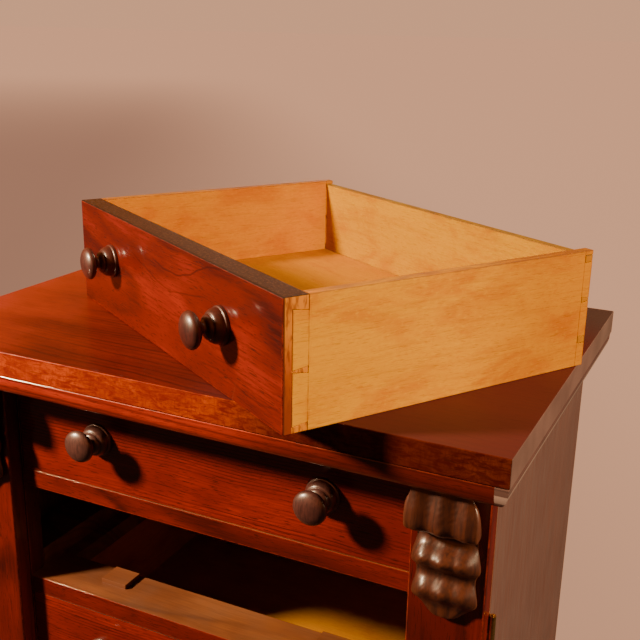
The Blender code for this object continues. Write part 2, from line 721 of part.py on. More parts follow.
def build_bottom_and_back(frame):
    piece = notched_board(SIDE_INNER - SEAT_GAP, RAIL_THICK - SEAT_GAP)
    combine(piece, new_cutter("Last guides and stops", guides_and_stops()), "UNION")
    new_piece("bottom_board", solid_of(piece), carcase_wood, frame, (0, 0, bay_floor(DRAWER_COUNT)))

    half = SIDE_INNER + BACK_REBATE_WIDTH
    low = PLINTH_HEIGHT + SEAT_GAP
    high = BODY_TOP - SEAT_GAP
    back = box_mesh("back_panel", ((-half, BACK_FRONT, low), (half, BACK_FRONT + BACK_THICK, high)))
    new_piece("back_panel", back, carcase_wood, frame)


def corbel_half_width(fall):
    """Half the corbel's width at a distance down it, 0 at the top and 1 at the foot."""
    return CORBEL_WIDTH / 2 * float(np.interp(fall * CORBEL_ROWS, OUTLINE_ROWS, OUTLINE_WIDTHS))


def corbel_reach(across, fall):
    """How far the carving stands out at a place on it: a scroll above two lobes of leaf."""
    scroll = float(np.interp(fall * CORBEL_ROWS, SCROLL_ROWS, SCROLL_HEIGHTS))
    scroll *= 1.0 - SCROLL_CROWN_FALL * across**2
    leaf = CARVED_GROUND
    for lobe, place in LEAF_LOBES:
        leaf = max(leaf, lobe * math.exp(-(((fall - place) / LOBE_SPREAD) ** 2)))
    leaf *= 1.0 - LEAF_CROWN_FALL * across**4
    ripple = 0.5 - 0.5 * math.cos(FLUTE_COUNT * math.pi * across)
    flutes = 1.0 - FLUTE_DEPTH * ripple * (1.0 - across**4)
    return CORBEL_EDGE + (CORBEL_REACH - CORBEL_EDGE) * max(scroll, leaf) * flutes


def corbel_mesh():
    """A carved corbel, its flat back on the plane y = 0 and its head on z = 0."""
    shape = bmesh.new()
    bmesh.ops.create_grid(shape, x_segments=CORBEL_COLUMNS, y_segments=CORBEL_ROWS, size=1.0)
    front = list(shape.verts)
    backs = bmesh.ops.extrude_face_region(shape, geom=shape.faces[:])["geom"]
    for corner in front:
        corner.co.z = 0.0
    for corner in [item for item in backs if isinstance(item, bmesh.types.BMVert)]:
        corner.co.z = 1.0
    for corner in shape.verts:
        across, along, raised = corner.co
        fall = (1.0 - along) / 2
        depth = corbel_reach(across, fall) if raised else 0.0
        corner.co = (across * corbel_half_width(fall), -depth, -fall * CORBEL_HEIGHT)
    bmesh.ops.recalc_face_normals(shape, faces=shape.faces)
    inside = []
    for edge in shape.edges:
        corners = {corner for face in edge.link_faces for corner in face.verts}
        if all(abs(corner.co.y) < TOUCHING for corner in corners):
            inside.append(edge)
    bmesh.ops.dissolve_edges(shape, edges=inside, use_verts=True)
    mesh = finished_mesh("corbel", shape)
    mesh.shade_smooth()
    mesh.set_sharp_from_angle(angle=math.radians(60))
    return mesh


HINGE_HEIGHTS = {
    "upper": BODY_TOP - HINGE_END_INSET,
    "lower": PLINTH_HEIGHT + HINGE_END_INSET,
}


def leaf_cutter_mesh(toward):
    """Recesses for both hinges' leaves, about the hinge's axis. Toward is the leaf's side in y."""
    reach = LEAF_THICK + 2 * SEAT_GAP
    near, far = sorted((-toward * CUT_PAST, toward * reach))
    left = -BARREL_RADIUS - LEAF_WIDTH - SEAT_GAP
    right = BODY_HALF + CUT_PAST - HINGE_X
    tall = HINGE_HEIGHT / 2 + SEAT_GAP
    boxes = [((left, near, z - tall), (right, far, z + tall)) for z in HINGE_HEIGHTS.values()]
    return box_mesh("Leaf cutter", *boxes)


def build_pilasters(frame):
    """Fixed left pilaster, and the right one on its hinges with its corbel, lock and escutcheon."""
    corbel = corbel_mesh()
    high = BODY_TOP - SEAT_GAP
    left = box_mesh(
        "pilaster_left",
        ((-BODY_HALF, PILASTER_FRONT, PLINTH_HEIGHT + SEAT_GAP), (-PILASTER_INNER, PILASTER_REAR, high)),
    )
    round_edges(new_piece("pilaster_left", left, mahogany, frame), PILASTER_EDGE_ROUND)
    seat = PILASTER_FRONT - SEAT_GAP
    new_piece("corbel_left", corbel, carved_wood, frame, (-LOCK_X, seat, BODY_TOP - 2 * SEAT_GAP))

    hinge = new_empty("pilaster_hinge_axis", (HINGE_X, HINGE_Y, 0), frame)
    low = from_hinge(PILASTER_INNER, PILASTER_FRONT, PLINTH_HEIGHT + SWING_GAP)
    high = from_hinge(BODY_HALF, PILASTER_REAR, BODY_TOP - SWING_GAP)
    right_piece = new_piece("locking_pilaster", box_mesh("locking_pilaster", (low, high)), mahogany, hinge)
    round_edges(right_piece, PILASTER_EDGE_ROUND)
    place = from_hinge(LOCK_X, seat, BODY_TOP - SWING_GAP)
    new_piece("corbel_right", corbel, carved_wood, hinge, place)
    combine(right_piece, new_cutter("Swinging leaf cutter", leaf_cutter_mesh(-1), hinge))
    fit_lock(frame, hinge, right_piece)
    return hinge


def from_hinge(across, back, height):
    """A place in the chest as seen from the foot of the hinges' axis."""
    return Vector((across - HINGE_X, back - HINGE_Y, height))


def fit_lock(frame, hinge, pilaster):
    """Lock case let into the pilaster's rear, bolt, keyhole and plate, and the staple they close on."""
    case_x, case_y, case_z = LOCK_CASE_SIZE
    case_rear = PILASTER_REAR - SEAT_GAP
    case_front = case_rear - case_y
    low = (LOCK_X - case_x / 2, case_front, LOCK_Z - case_z / 2)
    high = (LOCK_X + case_x / 2, case_rear, LOCK_Z + case_z / 2)
    case = new_piece("lock_case", box_mesh("lock_case", (from_hinge(*low), from_hinge(*high))), brass, hinge)
    low = from_hinge(*low) - Vector((SEAT_GAP, SEAT_GAP, SEAT_GAP))
    high = from_hinge(*high) + Vector((SEAT_GAP, CUT_PAST, SEAT_GAP))
    combine(pilaster, new_cutter("Lock mortise", box_mesh("Lock mortise", (low, high)), hinge))

    key_z = LOCK_Z - KEYHOLE_SLOT[1] / 2
    key_place = from_hinge(LOCK_X, PILASTER_FRONT, key_z)
    recess_depth = 2 * (ESCUTCHEON_THICK + SEAT_GAP)
    recess = cylinder_mesh("Plate recess", ESCUTCHEON_RADIUS + SEAT_GAP, recess_depth, PLATE_SIDES, "Y")
    combine(pilaster, new_cutter("Plate recess", recess, hinge, key_place))
    plate_mesh = cylinder_mesh("escutcheon", ESCUTCHEON_RADIUS, ESCUTCHEON_THICK, PLATE_SIDES, "Y")
    plate_place = from_hinge(LOCK_X, PILASTER_FRONT + ESCUTCHEON_THICK / 2, key_z)
    plate = new_piece("escutcheon", plate_mesh, brass, hinge, plate_place)
    for piece in (pilaster, plate, case):
        combine(piece, new_cutter(f"Keyhole {piece.name}", keyhole_mesh(), hinge, key_place))

    bolt_x, bolt_y, bolt_z = BOLT_SIZE
    bolt_top = LOCK_Z - STAPLE_BAR
    pocket_front = case_front + LOCK_WALL
    low = from_hinge(LOCK_X - POCKET_HALF, pocket_front, bolt_top - CUT_PAST)
    high = from_hinge(LOCK_X + POCKET_HALF, FACE_Y + CUT_PAST, LOCK_Z + BOLT_THROW + POCKET_HEADROOM)
    combine(case, new_cutter("Staple pocket", box_mesh("Staple pocket", (low, high)), hinge))
    channel_half = bolt_x / 2 + SEAT_GAP
    low = from_hinge(LOCK_X - channel_half, pocket_front, bolt_top - bolt_z - SEAT_GAP)
    high = from_hinge(LOCK_X + channel_half, FACE_Y + CUT_PAST, LOCK_Z)
    combine(case, new_cutter("Bolt channel", box_mesh("Bolt channel", (low, high)), hinge))
    bolt = box_mesh("lock_bolt", ((-bolt_x / 2, -bolt_y / 2, -bolt_z), (bolt_x / 2, bolt_y / 2, 0)))
    bolt_place = from_hinge(LOCK_X, FACE_Y - 3 * SEAT_GAP - bolt_y / 2, bolt_top)
    new_piece("lock_bolt", bolt, brass, hinge, bolt_place)

    strike_x, strike_y, strike_z = STRIKE_PLATE
    strike_front = FACE_Y + SEAT_GAP
    bridge_front = pocket_front + 2 * SEAT_GAP
    leg_inner = bolt_x / 2 + 2 * SEAT_GAP
    leg_outer = leg_inner + STAPLE_BAR
    low = (LOCK_X - strike_x / 2, strike_front, LOCK_Z - strike_z / 2)
    high = (LOCK_X + strike_x / 2, strike_front + strike_y, LOCK_Z + strike_z / 2)
    strike = new_piece("lock_strike", box_mesh("lock_strike", (low, high)), brass, frame)
    low = (LOCK_X - leg_outer, bridge_front, LOCK_Z - STAPLE_BAR / 2)
    high = (LOCK_X + leg_outer, strike_front + strike_y / 2, LOCK_Z + STAPLE_BAR / 2)
    combine(strike, new_cutter("Staple", box_mesh("Staple", (low, high)), frame), "UNION")
    low = (LOCK_X - leg_inner, bridge_front + STAPLE_BAR / 2, LOCK_Z - STAPLE_BAR)
    high = (LOCK_X + leg_inner, strike_front, LOCK_Z + STAPLE_BAR)
    combine(strike, new_cutter("Staple eye", box_mesh("Staple eye", (low, high)), frame))


def keyhole_mesh():
    """A round hole over a narrow slot, both straight through along Y."""
    width, drop = KEYHOLE_SLOT
    length = 2 * (PILASTER_THICK - LOCK_CASE_SIZE[1] + LOCK_WALL)
    sides = 16
    outline = []
    for step in range(sides + 1):
        angle = math.radians(-60 + 300 * step / sides)
        outline.append((KEYHOLE_RADIUS * math.cos(angle), KEYHOLE_RADIUS * math.sin(angle)))
    outline += [(-width / 2, -drop), (width / 2, -drop)]
    return outline_mesh("Keyhole", outline, length, "Y")


def hinge_leaf_mesh(name, toward, knuckles):
    """One leaf of a butt hinge with its knuckles, about the pin. Toward is the leaf's side in y."""
    half = HINGE_HEIGHT / 2
    near, far = sorted((toward * SEAT_GAP, toward * (SEAT_GAP + LEAF_THICK)))
    plate_edge = -BARREL_RADIUS - 2 * SEAT_GAP
    leaf = box_mesh(name, ((-BARREL_RADIUS - LEAF_WIDTH, near, -half), (plate_edge, far, half)))
    piece = loose_piece(name, leaf)
    for low, high in knuckles:
        low_corner = (plate_edge - LEAF_THICK, near, low)
        web = box_mesh("Web", (low_corner, (-BARREL_BORE - SEAT_GAP, far, high)))
        combine(piece, new_cutter("Web", web), "UNION")
        barrel = cylinder_mesh("Barrel", BARREL_RADIUS, high - low, ROUND_SIDES)
        combine(piece, new_cutter("Barrel", barrel, None, (0, 0, (low + high) / 2)), "UNION")
    bore = cylinder_mesh("Bore", BARREL_BORE, HINGE_HEIGHT + 2 * CUT_PAST, ROUND_SIDES)
    combine(piece, new_cutter("Bore", bore))
    return solid_of(piece)


def build_hinges(frame, hinge):
    third = HINGE_HEIGHT / 6
    half = HINGE_HEIGHT / 2
    gap = SEAT_GAP / 2
    fixed = hinge_leaf_mesh("hinge_leaf", 1, [(-half, -third - gap), (third + gap, half)])
    swinging = hinge_leaf_mesh("hinge_leaf", -1, [(-third + gap, third - gap)])
    pin = cylinder_mesh("hinge_pin", HINGE_PIN_RADIUS, HINGE_HEIGHT + 2 * HINGE_PIN_RADIUS, ROUND_SIDES)
    for where, height in HINGE_HEIGHTS.items():
        new_piece(f"hinge_{where}_leaf_fixed", fixed, brass, frame, (HINGE_X, HINGE_Y, height))
        new_piece(f"hinge_{where}_leaf_swinging", swinging, brass, hinge, (0, 0, height))
        new_piece(f"hinge_{where}_pin", pin, brass, frame, (HINGE_X, HINGE_Y, height))


def build_plinth(frame):
    """A hollow plinth with an ovolo round its head and glue blocks across its inner corners."""
    half = BODY_HALF + PLINTH_REACH
    front = PILASTER_FRONT - PLINTH_FRONT_REACH
    square_top = PLINTH_HEIGHT - PLINTH_OVOLO
    ovolo = quarter_round((PLINTH_OVOLO, square_top), PLINTH_OVOLO, PLINTH_OVOLO, 180, 90, 5)
    mesh = moulded_board_mesh("plinth", [(0.0, 0.0), *ovolo], half, front, BODY_REAR)
    plinth = new_piece("plinth", mesh, mahogany, frame)
    inner = half - PLINTH_THICK
    near = front + PLINTH_THICK
    far = BODY_REAR - PLINTH_THICK
    leg = GLUE_BLOCK_LEG
    right = [(inner - leg, near), (inner, near + leg), (inner, far - leg), (inner - leg, far)]
    outline = right + [(-across, back) for across, back in reversed(right)]
    hollow = outline_mesh("Plinth hollow", outline, 3 * PLINTH_HEIGHT)
    combine(plinth, new_cutter("Plinth hollow", hollow, frame))


clear_scene()
chest = new_collection("wellington_chest")
cutters = new_collection("cutters")

mahogany = new_material("mahogany", (0.235, 0.070, 0.028), 0.28)
carved_wood = new_material("carved_mahogany", (0.110, 0.045, 0.028), 0.42)
drawer_wood = new_material("drawer_wood", (0.560, 0.270, 0.090), 0.50)
carcase_wood = new_material("carcase_wood", (0.330, 0.170, 0.080), 0.65)
knob_wood = new_material("knob_wood", (0.050, 0.020, 0.014), 0.25)
brass = new_material("brass", (0.560, 0.390, 0.160), 0.35, 1.0)

centre_x, centre_y = footprint_centre()
chest_frame = new_empty("chest_frame", (-centre_x, -centre_y, 0))
build_top(chest_frame)
build_sides(chest_frame)
build_stiles(chest_frame)
build_drawer_frames(chest_frame)
build_bottom_and_back(chest_frame)
hinge_axis = build_pilasters(chest_frame)
build_hinges(chest_frame, hinge_axis)
build_plinth(chest_frame)
build_drawers(chest_frame)
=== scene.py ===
import math

import bmesh
import bpy
from mathutils import Matrix, Vector, noise


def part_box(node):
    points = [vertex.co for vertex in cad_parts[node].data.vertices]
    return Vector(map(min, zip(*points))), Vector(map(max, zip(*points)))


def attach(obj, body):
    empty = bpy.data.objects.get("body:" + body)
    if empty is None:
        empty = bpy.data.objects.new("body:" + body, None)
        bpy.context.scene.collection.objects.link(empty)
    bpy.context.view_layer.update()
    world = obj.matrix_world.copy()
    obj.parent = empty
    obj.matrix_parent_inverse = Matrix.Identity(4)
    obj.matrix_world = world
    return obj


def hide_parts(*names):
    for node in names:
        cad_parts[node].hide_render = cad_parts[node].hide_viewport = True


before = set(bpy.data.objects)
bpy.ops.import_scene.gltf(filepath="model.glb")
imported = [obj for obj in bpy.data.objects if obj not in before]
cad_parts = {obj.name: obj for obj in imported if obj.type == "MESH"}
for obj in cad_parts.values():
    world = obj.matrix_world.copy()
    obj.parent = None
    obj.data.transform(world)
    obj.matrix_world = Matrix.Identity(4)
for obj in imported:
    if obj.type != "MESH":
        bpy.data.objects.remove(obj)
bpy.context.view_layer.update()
print("frame loaded")

# places read from the frame
topLow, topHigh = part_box("top_board")
middleX = (topLow.x + topHigh.x) / 2
topFront = topLow.y
topSurface = topHigh.z
drawerNumbers = range(1, 8)
laidNumber = 2
laidDrawer = {"across": -0.0398, "back": 0.0700, "turn": -31.82}  # its front's middle, from the top's


# working by hand: selection, edit mode and modifiers

def takeUp(piece):
    bpy.ops.object.select_all(action="DESELECT")
    piece.select_set(True)
    bpy.context.view_layer.objects.active = piece


def pick(piece, kind, test):
    # leaves the piece in edit mode with the elements that pass the test selected
    takeUp(piece)
    bpy.ops.object.mode_set(mode="EDIT")
    bpy.ops.mesh.select_mode(type=kind)
    bpy.ops.mesh.select_all(action="DESELECT")
    cage = bmesh.from_edit_mesh(piece.data)
    for item in {"VERT": cage.verts, "EDGE": cage.edges, "FACE": cage.faces}[kind]:
        item.select_set(bool(test(item)))
    cage.select_flush_mode()
    bmesh.update_edit_mesh(piece.data)


def selectWhole():
    bpy.ops.mesh.select_all(action="SELECT")


def openWhole(piece):
    takeUp(piece)
    bpy.ops.object.mode_set(mode="EDIT")
    selectWhole()


def leaveEdit():
    bpy.ops.object.mode_set(mode="OBJECT")


def applyPlace(piece):
    takeUp(piece)
    bpy.ops.object.transform_apply(location=True, rotation=True, scale=True)


def useModifier(piece, kind, **settings):
    takeUp(piece)
    modifier = piece.modifiers.new(kind.title(), kind)
    for name, value in settings.items():
        setattr(modifier, name, value)
    bpy.ops.object.modifier_apply(modifier=modifier.name)


def addBlock(name, low, high):
    low, high = Vector(low), Vector(high)
    bpy.ops.object.select_all(action="DESELECT")
    bpy.ops.mesh.primitive_cube_add(size=1.0, location=(low + high) / 2)
    piece = bpy.context.object
    piece.name = name
    piece.scale = high - low
    applyPlace(piece)
    return piece


def roundArrises(piece, width, segments=2):
    useModifier(piece, "BEVEL", width=width, segments=segments, limit_method="ANGLE",
                angle_limit=math.radians(30), use_clamp_overlap=True)


def shadeWorn(piece, angle=60):
    takeUp(piece)
    bpy.ops.object.shade_smooth_by_angle(angle=math.radians(angle))
    useModifier(piece, "WEIGHTED_NORMAL", keep_sharp=True, weight=80)


def copyOf(piece, name):
    made = bpy.data.objects.new(name, piece.data.copy())
    bpy.context.scene.collection.objects.link(made)
    return made


def workedCopy(node, name, arris):
    # a CAD node's own shape with its loose triangles merged and its arrises eased
    piece = copyOf(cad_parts[node], name)
    piece.data.materials.clear()
    openWhole(piece)
    bpy.ops.mesh.remove_doubles(threshold=0.00002)
    bpy.ops.mesh.dissolve_limited(angle_limit=math.radians(0.5))
    bpy.ops.mesh.normals_make_consistent(inside=False)
    leaveEdit()
    if arris:
        roundArrises(piece, arris)
    return piece


def mark(piece, name, numbers, kind="value"):
    # an attribute of the points, one number each or a vector
    layer = piece.data.attributes.get(name)
    if layer is None:
        sort = "FLOAT" if kind == "value" else "FLOAT_VECTOR"
        layer = piece.data.attributes.new(name, sort, "POINT")
    layer.data.foreach_set(kind, numbers)


def markBoard(piece, axes, seed):
    # board coordinates in metres from its middle: along the grain, across the face, through it
    order = ["xyz".index(axis) for axis in axes]
    points = [vertex.co for vertex in piece.data.vertices]
    low = [min(point[axis] for point in points) for axis in order]
    high = [max(point[axis] for point in points) for axis in order]
    values = {"board": [], "boardHalf": []}
    half = [(b - a) / 2 for a, b in zip(low, high)]
    for point in points:
        values["board"] += [point[axis] - (a + b) / 2 for axis, a, b in zip(order, low, high)]
        values["boardHalf"] += half
    for name, numbers in values.items():
        mark(piece, name, numbers, "vector")
    setSeed(piece, seed)


def setSeed(piece, seed):
    mark(piece, "boardSeed", [float(seed)] * len(piece.data.vertices))


def markHollows(piece, reach):
    # how hollow the surface is at each point: below 0 on ridges, above 0 in recesses
    shape = bmesh.new()
    shape.from_mesh(piece.data)
    shape.normal_update()
    hollows = []
    for corner in shape.verts:
        around = [edge.other_vert(corner) for edge in corner.link_edges]
        lean = sum((near.co - corner.co).normalized().dot(corner.normal) for near in around)
        hollows.append(lean / max(1, len(around)))
    smooth = list(hollows)
    for _ in range(reach):
        smooth = [(smooth[v.index] + sum(smooth[e.other_vert(v).index] for e in v.link_edges))
                  / (1 + len(v.link_edges)) for v in shape.verts]
    shape.free()
    mark(piece, "hollow", smooth)


def setLook(piece, toneAndShade, jointsAndShade):
    # first vector: shares of red and green, which darken the drawer's inner boards as painted shade, and
    # the share of dust with painted sheen. second vector: gauge lines from the front and the rear end, and
    # the share of painted shade towards the rear end
    for name, value in (("boardToneAndShade", toneAndShade), ("boardJointsAndShade", jointsAndShade)):
        mark(piece, name, list(value) * len(piece.data.vertices), "vector")


def strayAt(spot):
    # three numbers about 0 that are the same for a place on every run
    return Vector([noise.noise(Vector(spot) + Vector((0.0, 0.0, 5.3 * axis))) for axis in range(3)])


def finishPiece(piece, body, slot, material, *nodes):
    piece.data.materials.clear()
    piece.data.materials.append(material)
    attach(piece, body)
    if nodes:
        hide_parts(*nodes)
    return piece


# node building

class Tree:
    # a short way to place and join shader nodes
    def __init__(self, tree):
        self.tree = tree

    def node(self, kind, **settings):
        made = self.tree.nodes.new(kind)
        for name, value in settings.items():
            setattr(made, name, value)
        return made

    def feed(self, socket, value):
        if isinstance(value, bpy.types.NodeSocket):
            self.tree.links.new(value, socket)
        elif value is not None:
            socket.default_value = value

    def math(self, operation, a, b=None, c=None):
        made = self.node("ShaderNodeMath", operation=operation)
        for socket, value in zip(made.inputs, (a, b, c)):
            self.feed(socket, value)
        return made.outputs[0]

    def times(self, a, b):
        return self.math("MULTIPLY", a, b)

    def plus(self, a, b):
        return self.math("ADD", a, b)

    def minus(self, a, b):
        return self.math("SUBTRACT", a, b)

    def scaled(self, value, factor, more):
        return self.math("MULTIPLY_ADD", value, factor, more)

    def vector(self, operation, a, b=None):
        made = self.node("ShaderNodeVectorMath", operation=operation)
        self.feed(made.inputs[0], a)
        if operation == "SCALE":
            self.feed(made.inputs["Scale"], b)
        else:
            self.feed(made.inputs[1], b)
        if operation == "MULTIPLY_ADD":
            self.feed(made.inputs[2], b)
        return made.outputs["Value" if operation in ("LENGTH", "DISTANCE") else "Vector"]

    def parts(self, vector):
        made = self.node("ShaderNodeSeparateXYZ")
        self.feed(made.inputs[0], vector)
        return made.outputs[0], made.outputs[1], made.outputs[2]

    def join(self, x, y, z):
        made = self.node("ShaderNodeCombineXYZ")
        for socket, value in zip(made.inputs, (x, y, z)):
            self.feed(socket, value)
        return made.outputs[0]

    def noise(self, vector, scale, detail=2.0, roughness=0.5, distortion=0.0):
        made = self.node("ShaderNodeTexNoise")
        self.feed(made.inputs["Vector"], vector)
        self.feed(made.inputs["Scale"], scale)
        self.feed(made.inputs["Detail"], detail)
        self.feed(made.inputs["Roughness"], roughness)
        self.feed(made.inputs["Distortion"], distortion)
        return made.outputs["Fac"]

    def grain(self, place, stretch, *settings):
        # noise that is drawn out: how often it changes along each axis
        return self.noise(self.vector("MULTIPLY", place, stretch), 1.0, *settings)

    def spread(self, value, low, high, newLow=0.0, newHigh=1.0):
        made = self.node("ShaderNodeMapRange", interpolation_type="SMOOTHSTEP")
        for socket, number in zip(made.inputs, (value, low, high, newLow, newHigh)):
            self.feed(socket, number)
        return made.outputs[0]

    def fall(self, value, low, high):
        return self.spread(value, low, high, 1.0, 0.0)

    def mix(self, share, a, b, blend="MIX"):
        made = self.node("ShaderNodeMix", data_type="RGBA", blend_type=blend)
        self.feed(made.inputs["Factor"], share)
        for name, value in (("A", a), ("B", b)):
            socket = next(s for s in made.inputs if s.name == name and s.type == "RGBA")
            self.feed(socket, value if isinstance(value, bpy.types.NodeSocket) else (*value, 1.0))
        return next(s for s in made.outputs if s.type == "RGBA")

    def lay(self, under, over, mask, share):
        # one colour over another where the mask is, by a share
        return self.mix(self.times(mask, share), under, over)

    def layers(self, colour, look, rows):
        # the look's colours one over another, each with its mask and share
        for name, mask, share in rows:
            colour = self.lay(colour, look[name], mask, share)
        return colour

    def tinted(self, colour, red, green=None):
        # a colour times shares of red and of green, the last also for blue
        green = green or red
        return self.mix(1.0, colour, self.join(red, green, green), "MULTIPLY")

    def attribute(self, name, output="Vector"):
        return self.node("ShaderNodeAttribute", attribute_name=name).outputs[output]

    def group(self, shared, **values):
        made = self.node("ShaderNodeGroup", node_tree=shared)
        for name, value in values.items():
            self.feed(made.inputs[name], value)
        return made.outputs

    def bump(self, height, strength, distance, normal=None):
        made = self.node("ShaderNodeBump")
        self.feed(made.inputs["Height"], height)
        self.feed(made.inputs["Strength"], strength)
        self.feed(made.inputs["Distance"], distance)
        self.feed(made.inputs["Normal"], normal)
        return made.outputs["Normal"]

    def place(self):
        return self.node("ShaderNodeTexCoord").outputs["Object"]

    def dress(self, shader, values):
        for name, value in values.items():
            self.feed(shader[name], value)


def newGroup(name, inputs, outputs):
    # an input without a value is a vector, and all else is a number
    shared = bpy.data.node_groups.new(name, "ShaderNodeTree")
    for socketName, value in inputs.items():
        kind = "Vector" if value is None else "Float"
        socket = shared.interface.new_socket(socketName, in_out="INPUT", socket_type=f"NodeSocket{kind}")
        if value is not None:
            socket.default_value = value
    for socketName in outputs:
        shared.interface.new_socket(socketName, in_out="OUTPUT", socket_type="NodeSocketFloat")
    tree = Tree(shared)
    start = tree.node("NodeGroupInput").outputs
    end = tree.node("NodeGroupOutput").inputs
    return shared, tree, start, end


def makeFigureGroup():
    # grown wood in board coordinates: rings about an off-centre pith, fibres and pores along the grain
    look = {"sway": (2.6, 7.0, 7.0), "ripple": (14.0, 40.0, 40.0), "cloud": (9.0, 22.0, 22.0),
            "fibreLong": 16.0, "fibreFine": 420.0, "pores": (5.0, 3.4, 3.4),
            "bands": 34.0, "strength": 95.0}
    shared, tree, given, out = newGroup(
        "woodFigure",
        {"Board": None, "Seed": 0.0, "Pith": 0.08, "Aside": 0.0, "Tilt": 0.06, "Wave": 0.012,
         "Rings": 160.0, "Fibres": 1.0},
        ("Rings", "Bands", "Fibres", "Pores", "Cloud"))
    seed = given["Seed"]
    shift = tree.join(tree.times(seed, 1.37), tree.times(seed, 2.11), tree.times(seed, 0.73))
    place = tree.vector("ADD", given["Board"], shift)
    slow = tree.grain(place, look["sway"], 2.0, 0.45)
    sway = tree.times(tree.minus(slow, 0.5), given["Wave"])
    quick = tree.grain(place, look["ripple"], 2.0, 0.5)
    ripple = tree.times(tree.minus(quick, 0.5), tree.times(given["Wave"], 0.10))
    along, across, through = tree.parts(given["Board"])
    bend = tree.plus(sway, ripple)
    side = tree.plus(across, tree.times(tree.math("SINE", tree.times(seed, 5.3)), 0.03))
    side = tree.plus(side, tree.plus(given["Aside"], tree.times(bend, 1.5)))
    depth = tree.plus(through, given["Pith"])
    depth = tree.plus(depth, tree.times(along, given["Tilt"]))
    depth = tree.plus(depth, bend)
    radius = tree.math("SQRT", tree.plus(tree.times(side, side), tree.times(depth, depth)))
    drift = tree.noise(tree.join(tree.times(radius, look["bands"]), seed, 0.0), 1.0, 2.0, 0.6)
    turns = tree.plus(tree.times(radius, given["Rings"]), tree.times(drift, 2.2))
    wave = tree.scaled(tree.math("SINE", tree.times(turns, 6.2832)), 0.5, 0.5)
    spot = tree.join(tree.times(radius, look["strength"]), tree.plus(seed, 7.0), tree.times(along, 2.0))
    weight = tree.noise(spot, 1.0, 2.0, 0.6)
    tree.feed(out["Rings"], tree.times(tree.math("POWER", wave, 3.0), tree.spread(weight, 0.34, 0.62)))
    tree.feed(out["Bands"], tree.spread(drift, 0.34, 0.66))
    grain = tree.join(tree.times(tree.plus(along, seed), look["fibreLong"]),
                      tree.times(tree.plus(across, bend), look["fibreFine"]),
                      tree.times(tree.plus(through, bend), look["fibreFine"]))
    tree.feed(out["Fibres"], tree.noise(tree.vector("SCALE", grain, given["Fibres"]), 1.0, 3.0, 0.62))
    tree.feed(out["Pores"], tree.spread(tree.grain(grain, look["pores"], 1.0, 0.5), 0.60, 0.70))
    cloud = tree.grain(place, look["cloud"], 3.0, 0.55)
    tree.feed(out["Cloud"], tree.spread(cloud, 0.32, 0.68))
    return shared


def makeEdgeGroup():
    # distances in metres to a board's arrises and ends, and masks for wear and handling
    shared, tree, given, out = newGroup(
        "boardEdges",
        {"Board": None, "Half": None, "Seed": 0.0, "Wear": 0.0006},
        ("Arris", "Ends", "Smudge"))
    inside = tree.vector("SUBTRACT", given["Half"], tree.vector("ABSOLUTE", given["Board"]))
    a, b, c = tree.parts(inside)
    further = tree.math("MINIMUM", tree.math("MAXIMUM", a, b), c)
    nearer = tree.math("MAXIMUM", tree.math("MINIMUM", a, b), further)
    shifted = tree.vector("ADD", given["Board"], tree.join(given["Seed"], 0.0, 0.0))
    broken = tree.noise(shifted, 120.0, 3.0, 0.6)
    reach = tree.times(given["Wear"], tree.spread(broken, 0.25, 0.75, 0.15, 2.2))
    tree.feed(out["Arris"], tree.fall(tree.minus(nearer, reach), -0.0003, 0.0004))
    tree.feed(out["Ends"], tree.fall(a, 0.0002, 0.0005))
    tree.feed(out["Smudge"], tree.spread(tree.noise(shifted, 9.0, 4.0, 0.6), 0.40, 0.72))
    return shared


figureGroup = makeFigureGroup()
edgeGroup = makeEdgeGroup()

# colours of the wood, how rough and lacquered it is, and how the board was cut from the tree
finishes = {
    "topMahogany": {
        "pale": (0.165, 0.0150, 0.0085), "deep": (0.094, 0.0082, 0.0056), "line": (0.026, 0.0034, 0.0026),
        "rough": 0.36, "specular": 0.06, "coat": 0.32, "sheen": 0.14, "grain": 0.45,
        "pith": 0.06, "aside": 0.30, "tilt": 0.02, "wave": 0.030, "rings": 150.0, "fibres": 1.0},
    "frontMahogany": {
        "pale": (0.235, 0.0170, 0.0062), "deep": (0.100, 0.0070, 0.0042), "line": (0.018, 0.0024, 0.0018),
        "rough": 0.34, "coat": 0.8, "grain": 0.75,
        "pith": 0.20, "aside": 0.04, "tilt": 0.05, "wave": 0.036, "rings": 90.0, "fibres": 1.1},
    "drawerMahogany": {
        "pale": (0.320, 0.0215, 0.0066), "deep": (0.150, 0.0095, 0.0046), "line": (0.020, 0.0022, 0.0016),
        "coat": 0.8, "grain": 0.8,
        "pith": 0.08, "aside": 0.22, "tilt": 0.02, "wave": 0.020, "rings": 300.0, "fibres": 1.5},
    "edgeMahogany": {
        "pale": (0.540, 0.0450, 0.0120), "deep": (0.280, 0.0220, 0.0080), "line": (0.050, 0.0050, 0.0030),
        "rough": 0.32, "coat": 0.9, "grain": 0.7,
        "pith": 0.10, "aside": 0.15, "tilt": 0.02, "wave": 0.030, "rings": 120.0, "fibres": 1.4},
    "sideMahogany": {
        "pale": (0.225, 0.0620, 0.0270), "deep": (0.125, 0.0300, 0.0140), "line": (0.045, 0.0110, 0.0060),
        "paintedSheen": (0.165, 0.0980, 0.0900), "rough": 0.36, "coat": 0.7, "grain": 0.7,
        "pith": 0.10, "aside": 0.25, "tilt": 0.02, "wave": 0.020, "rings": 160.0, "fibres": 1.2},
}
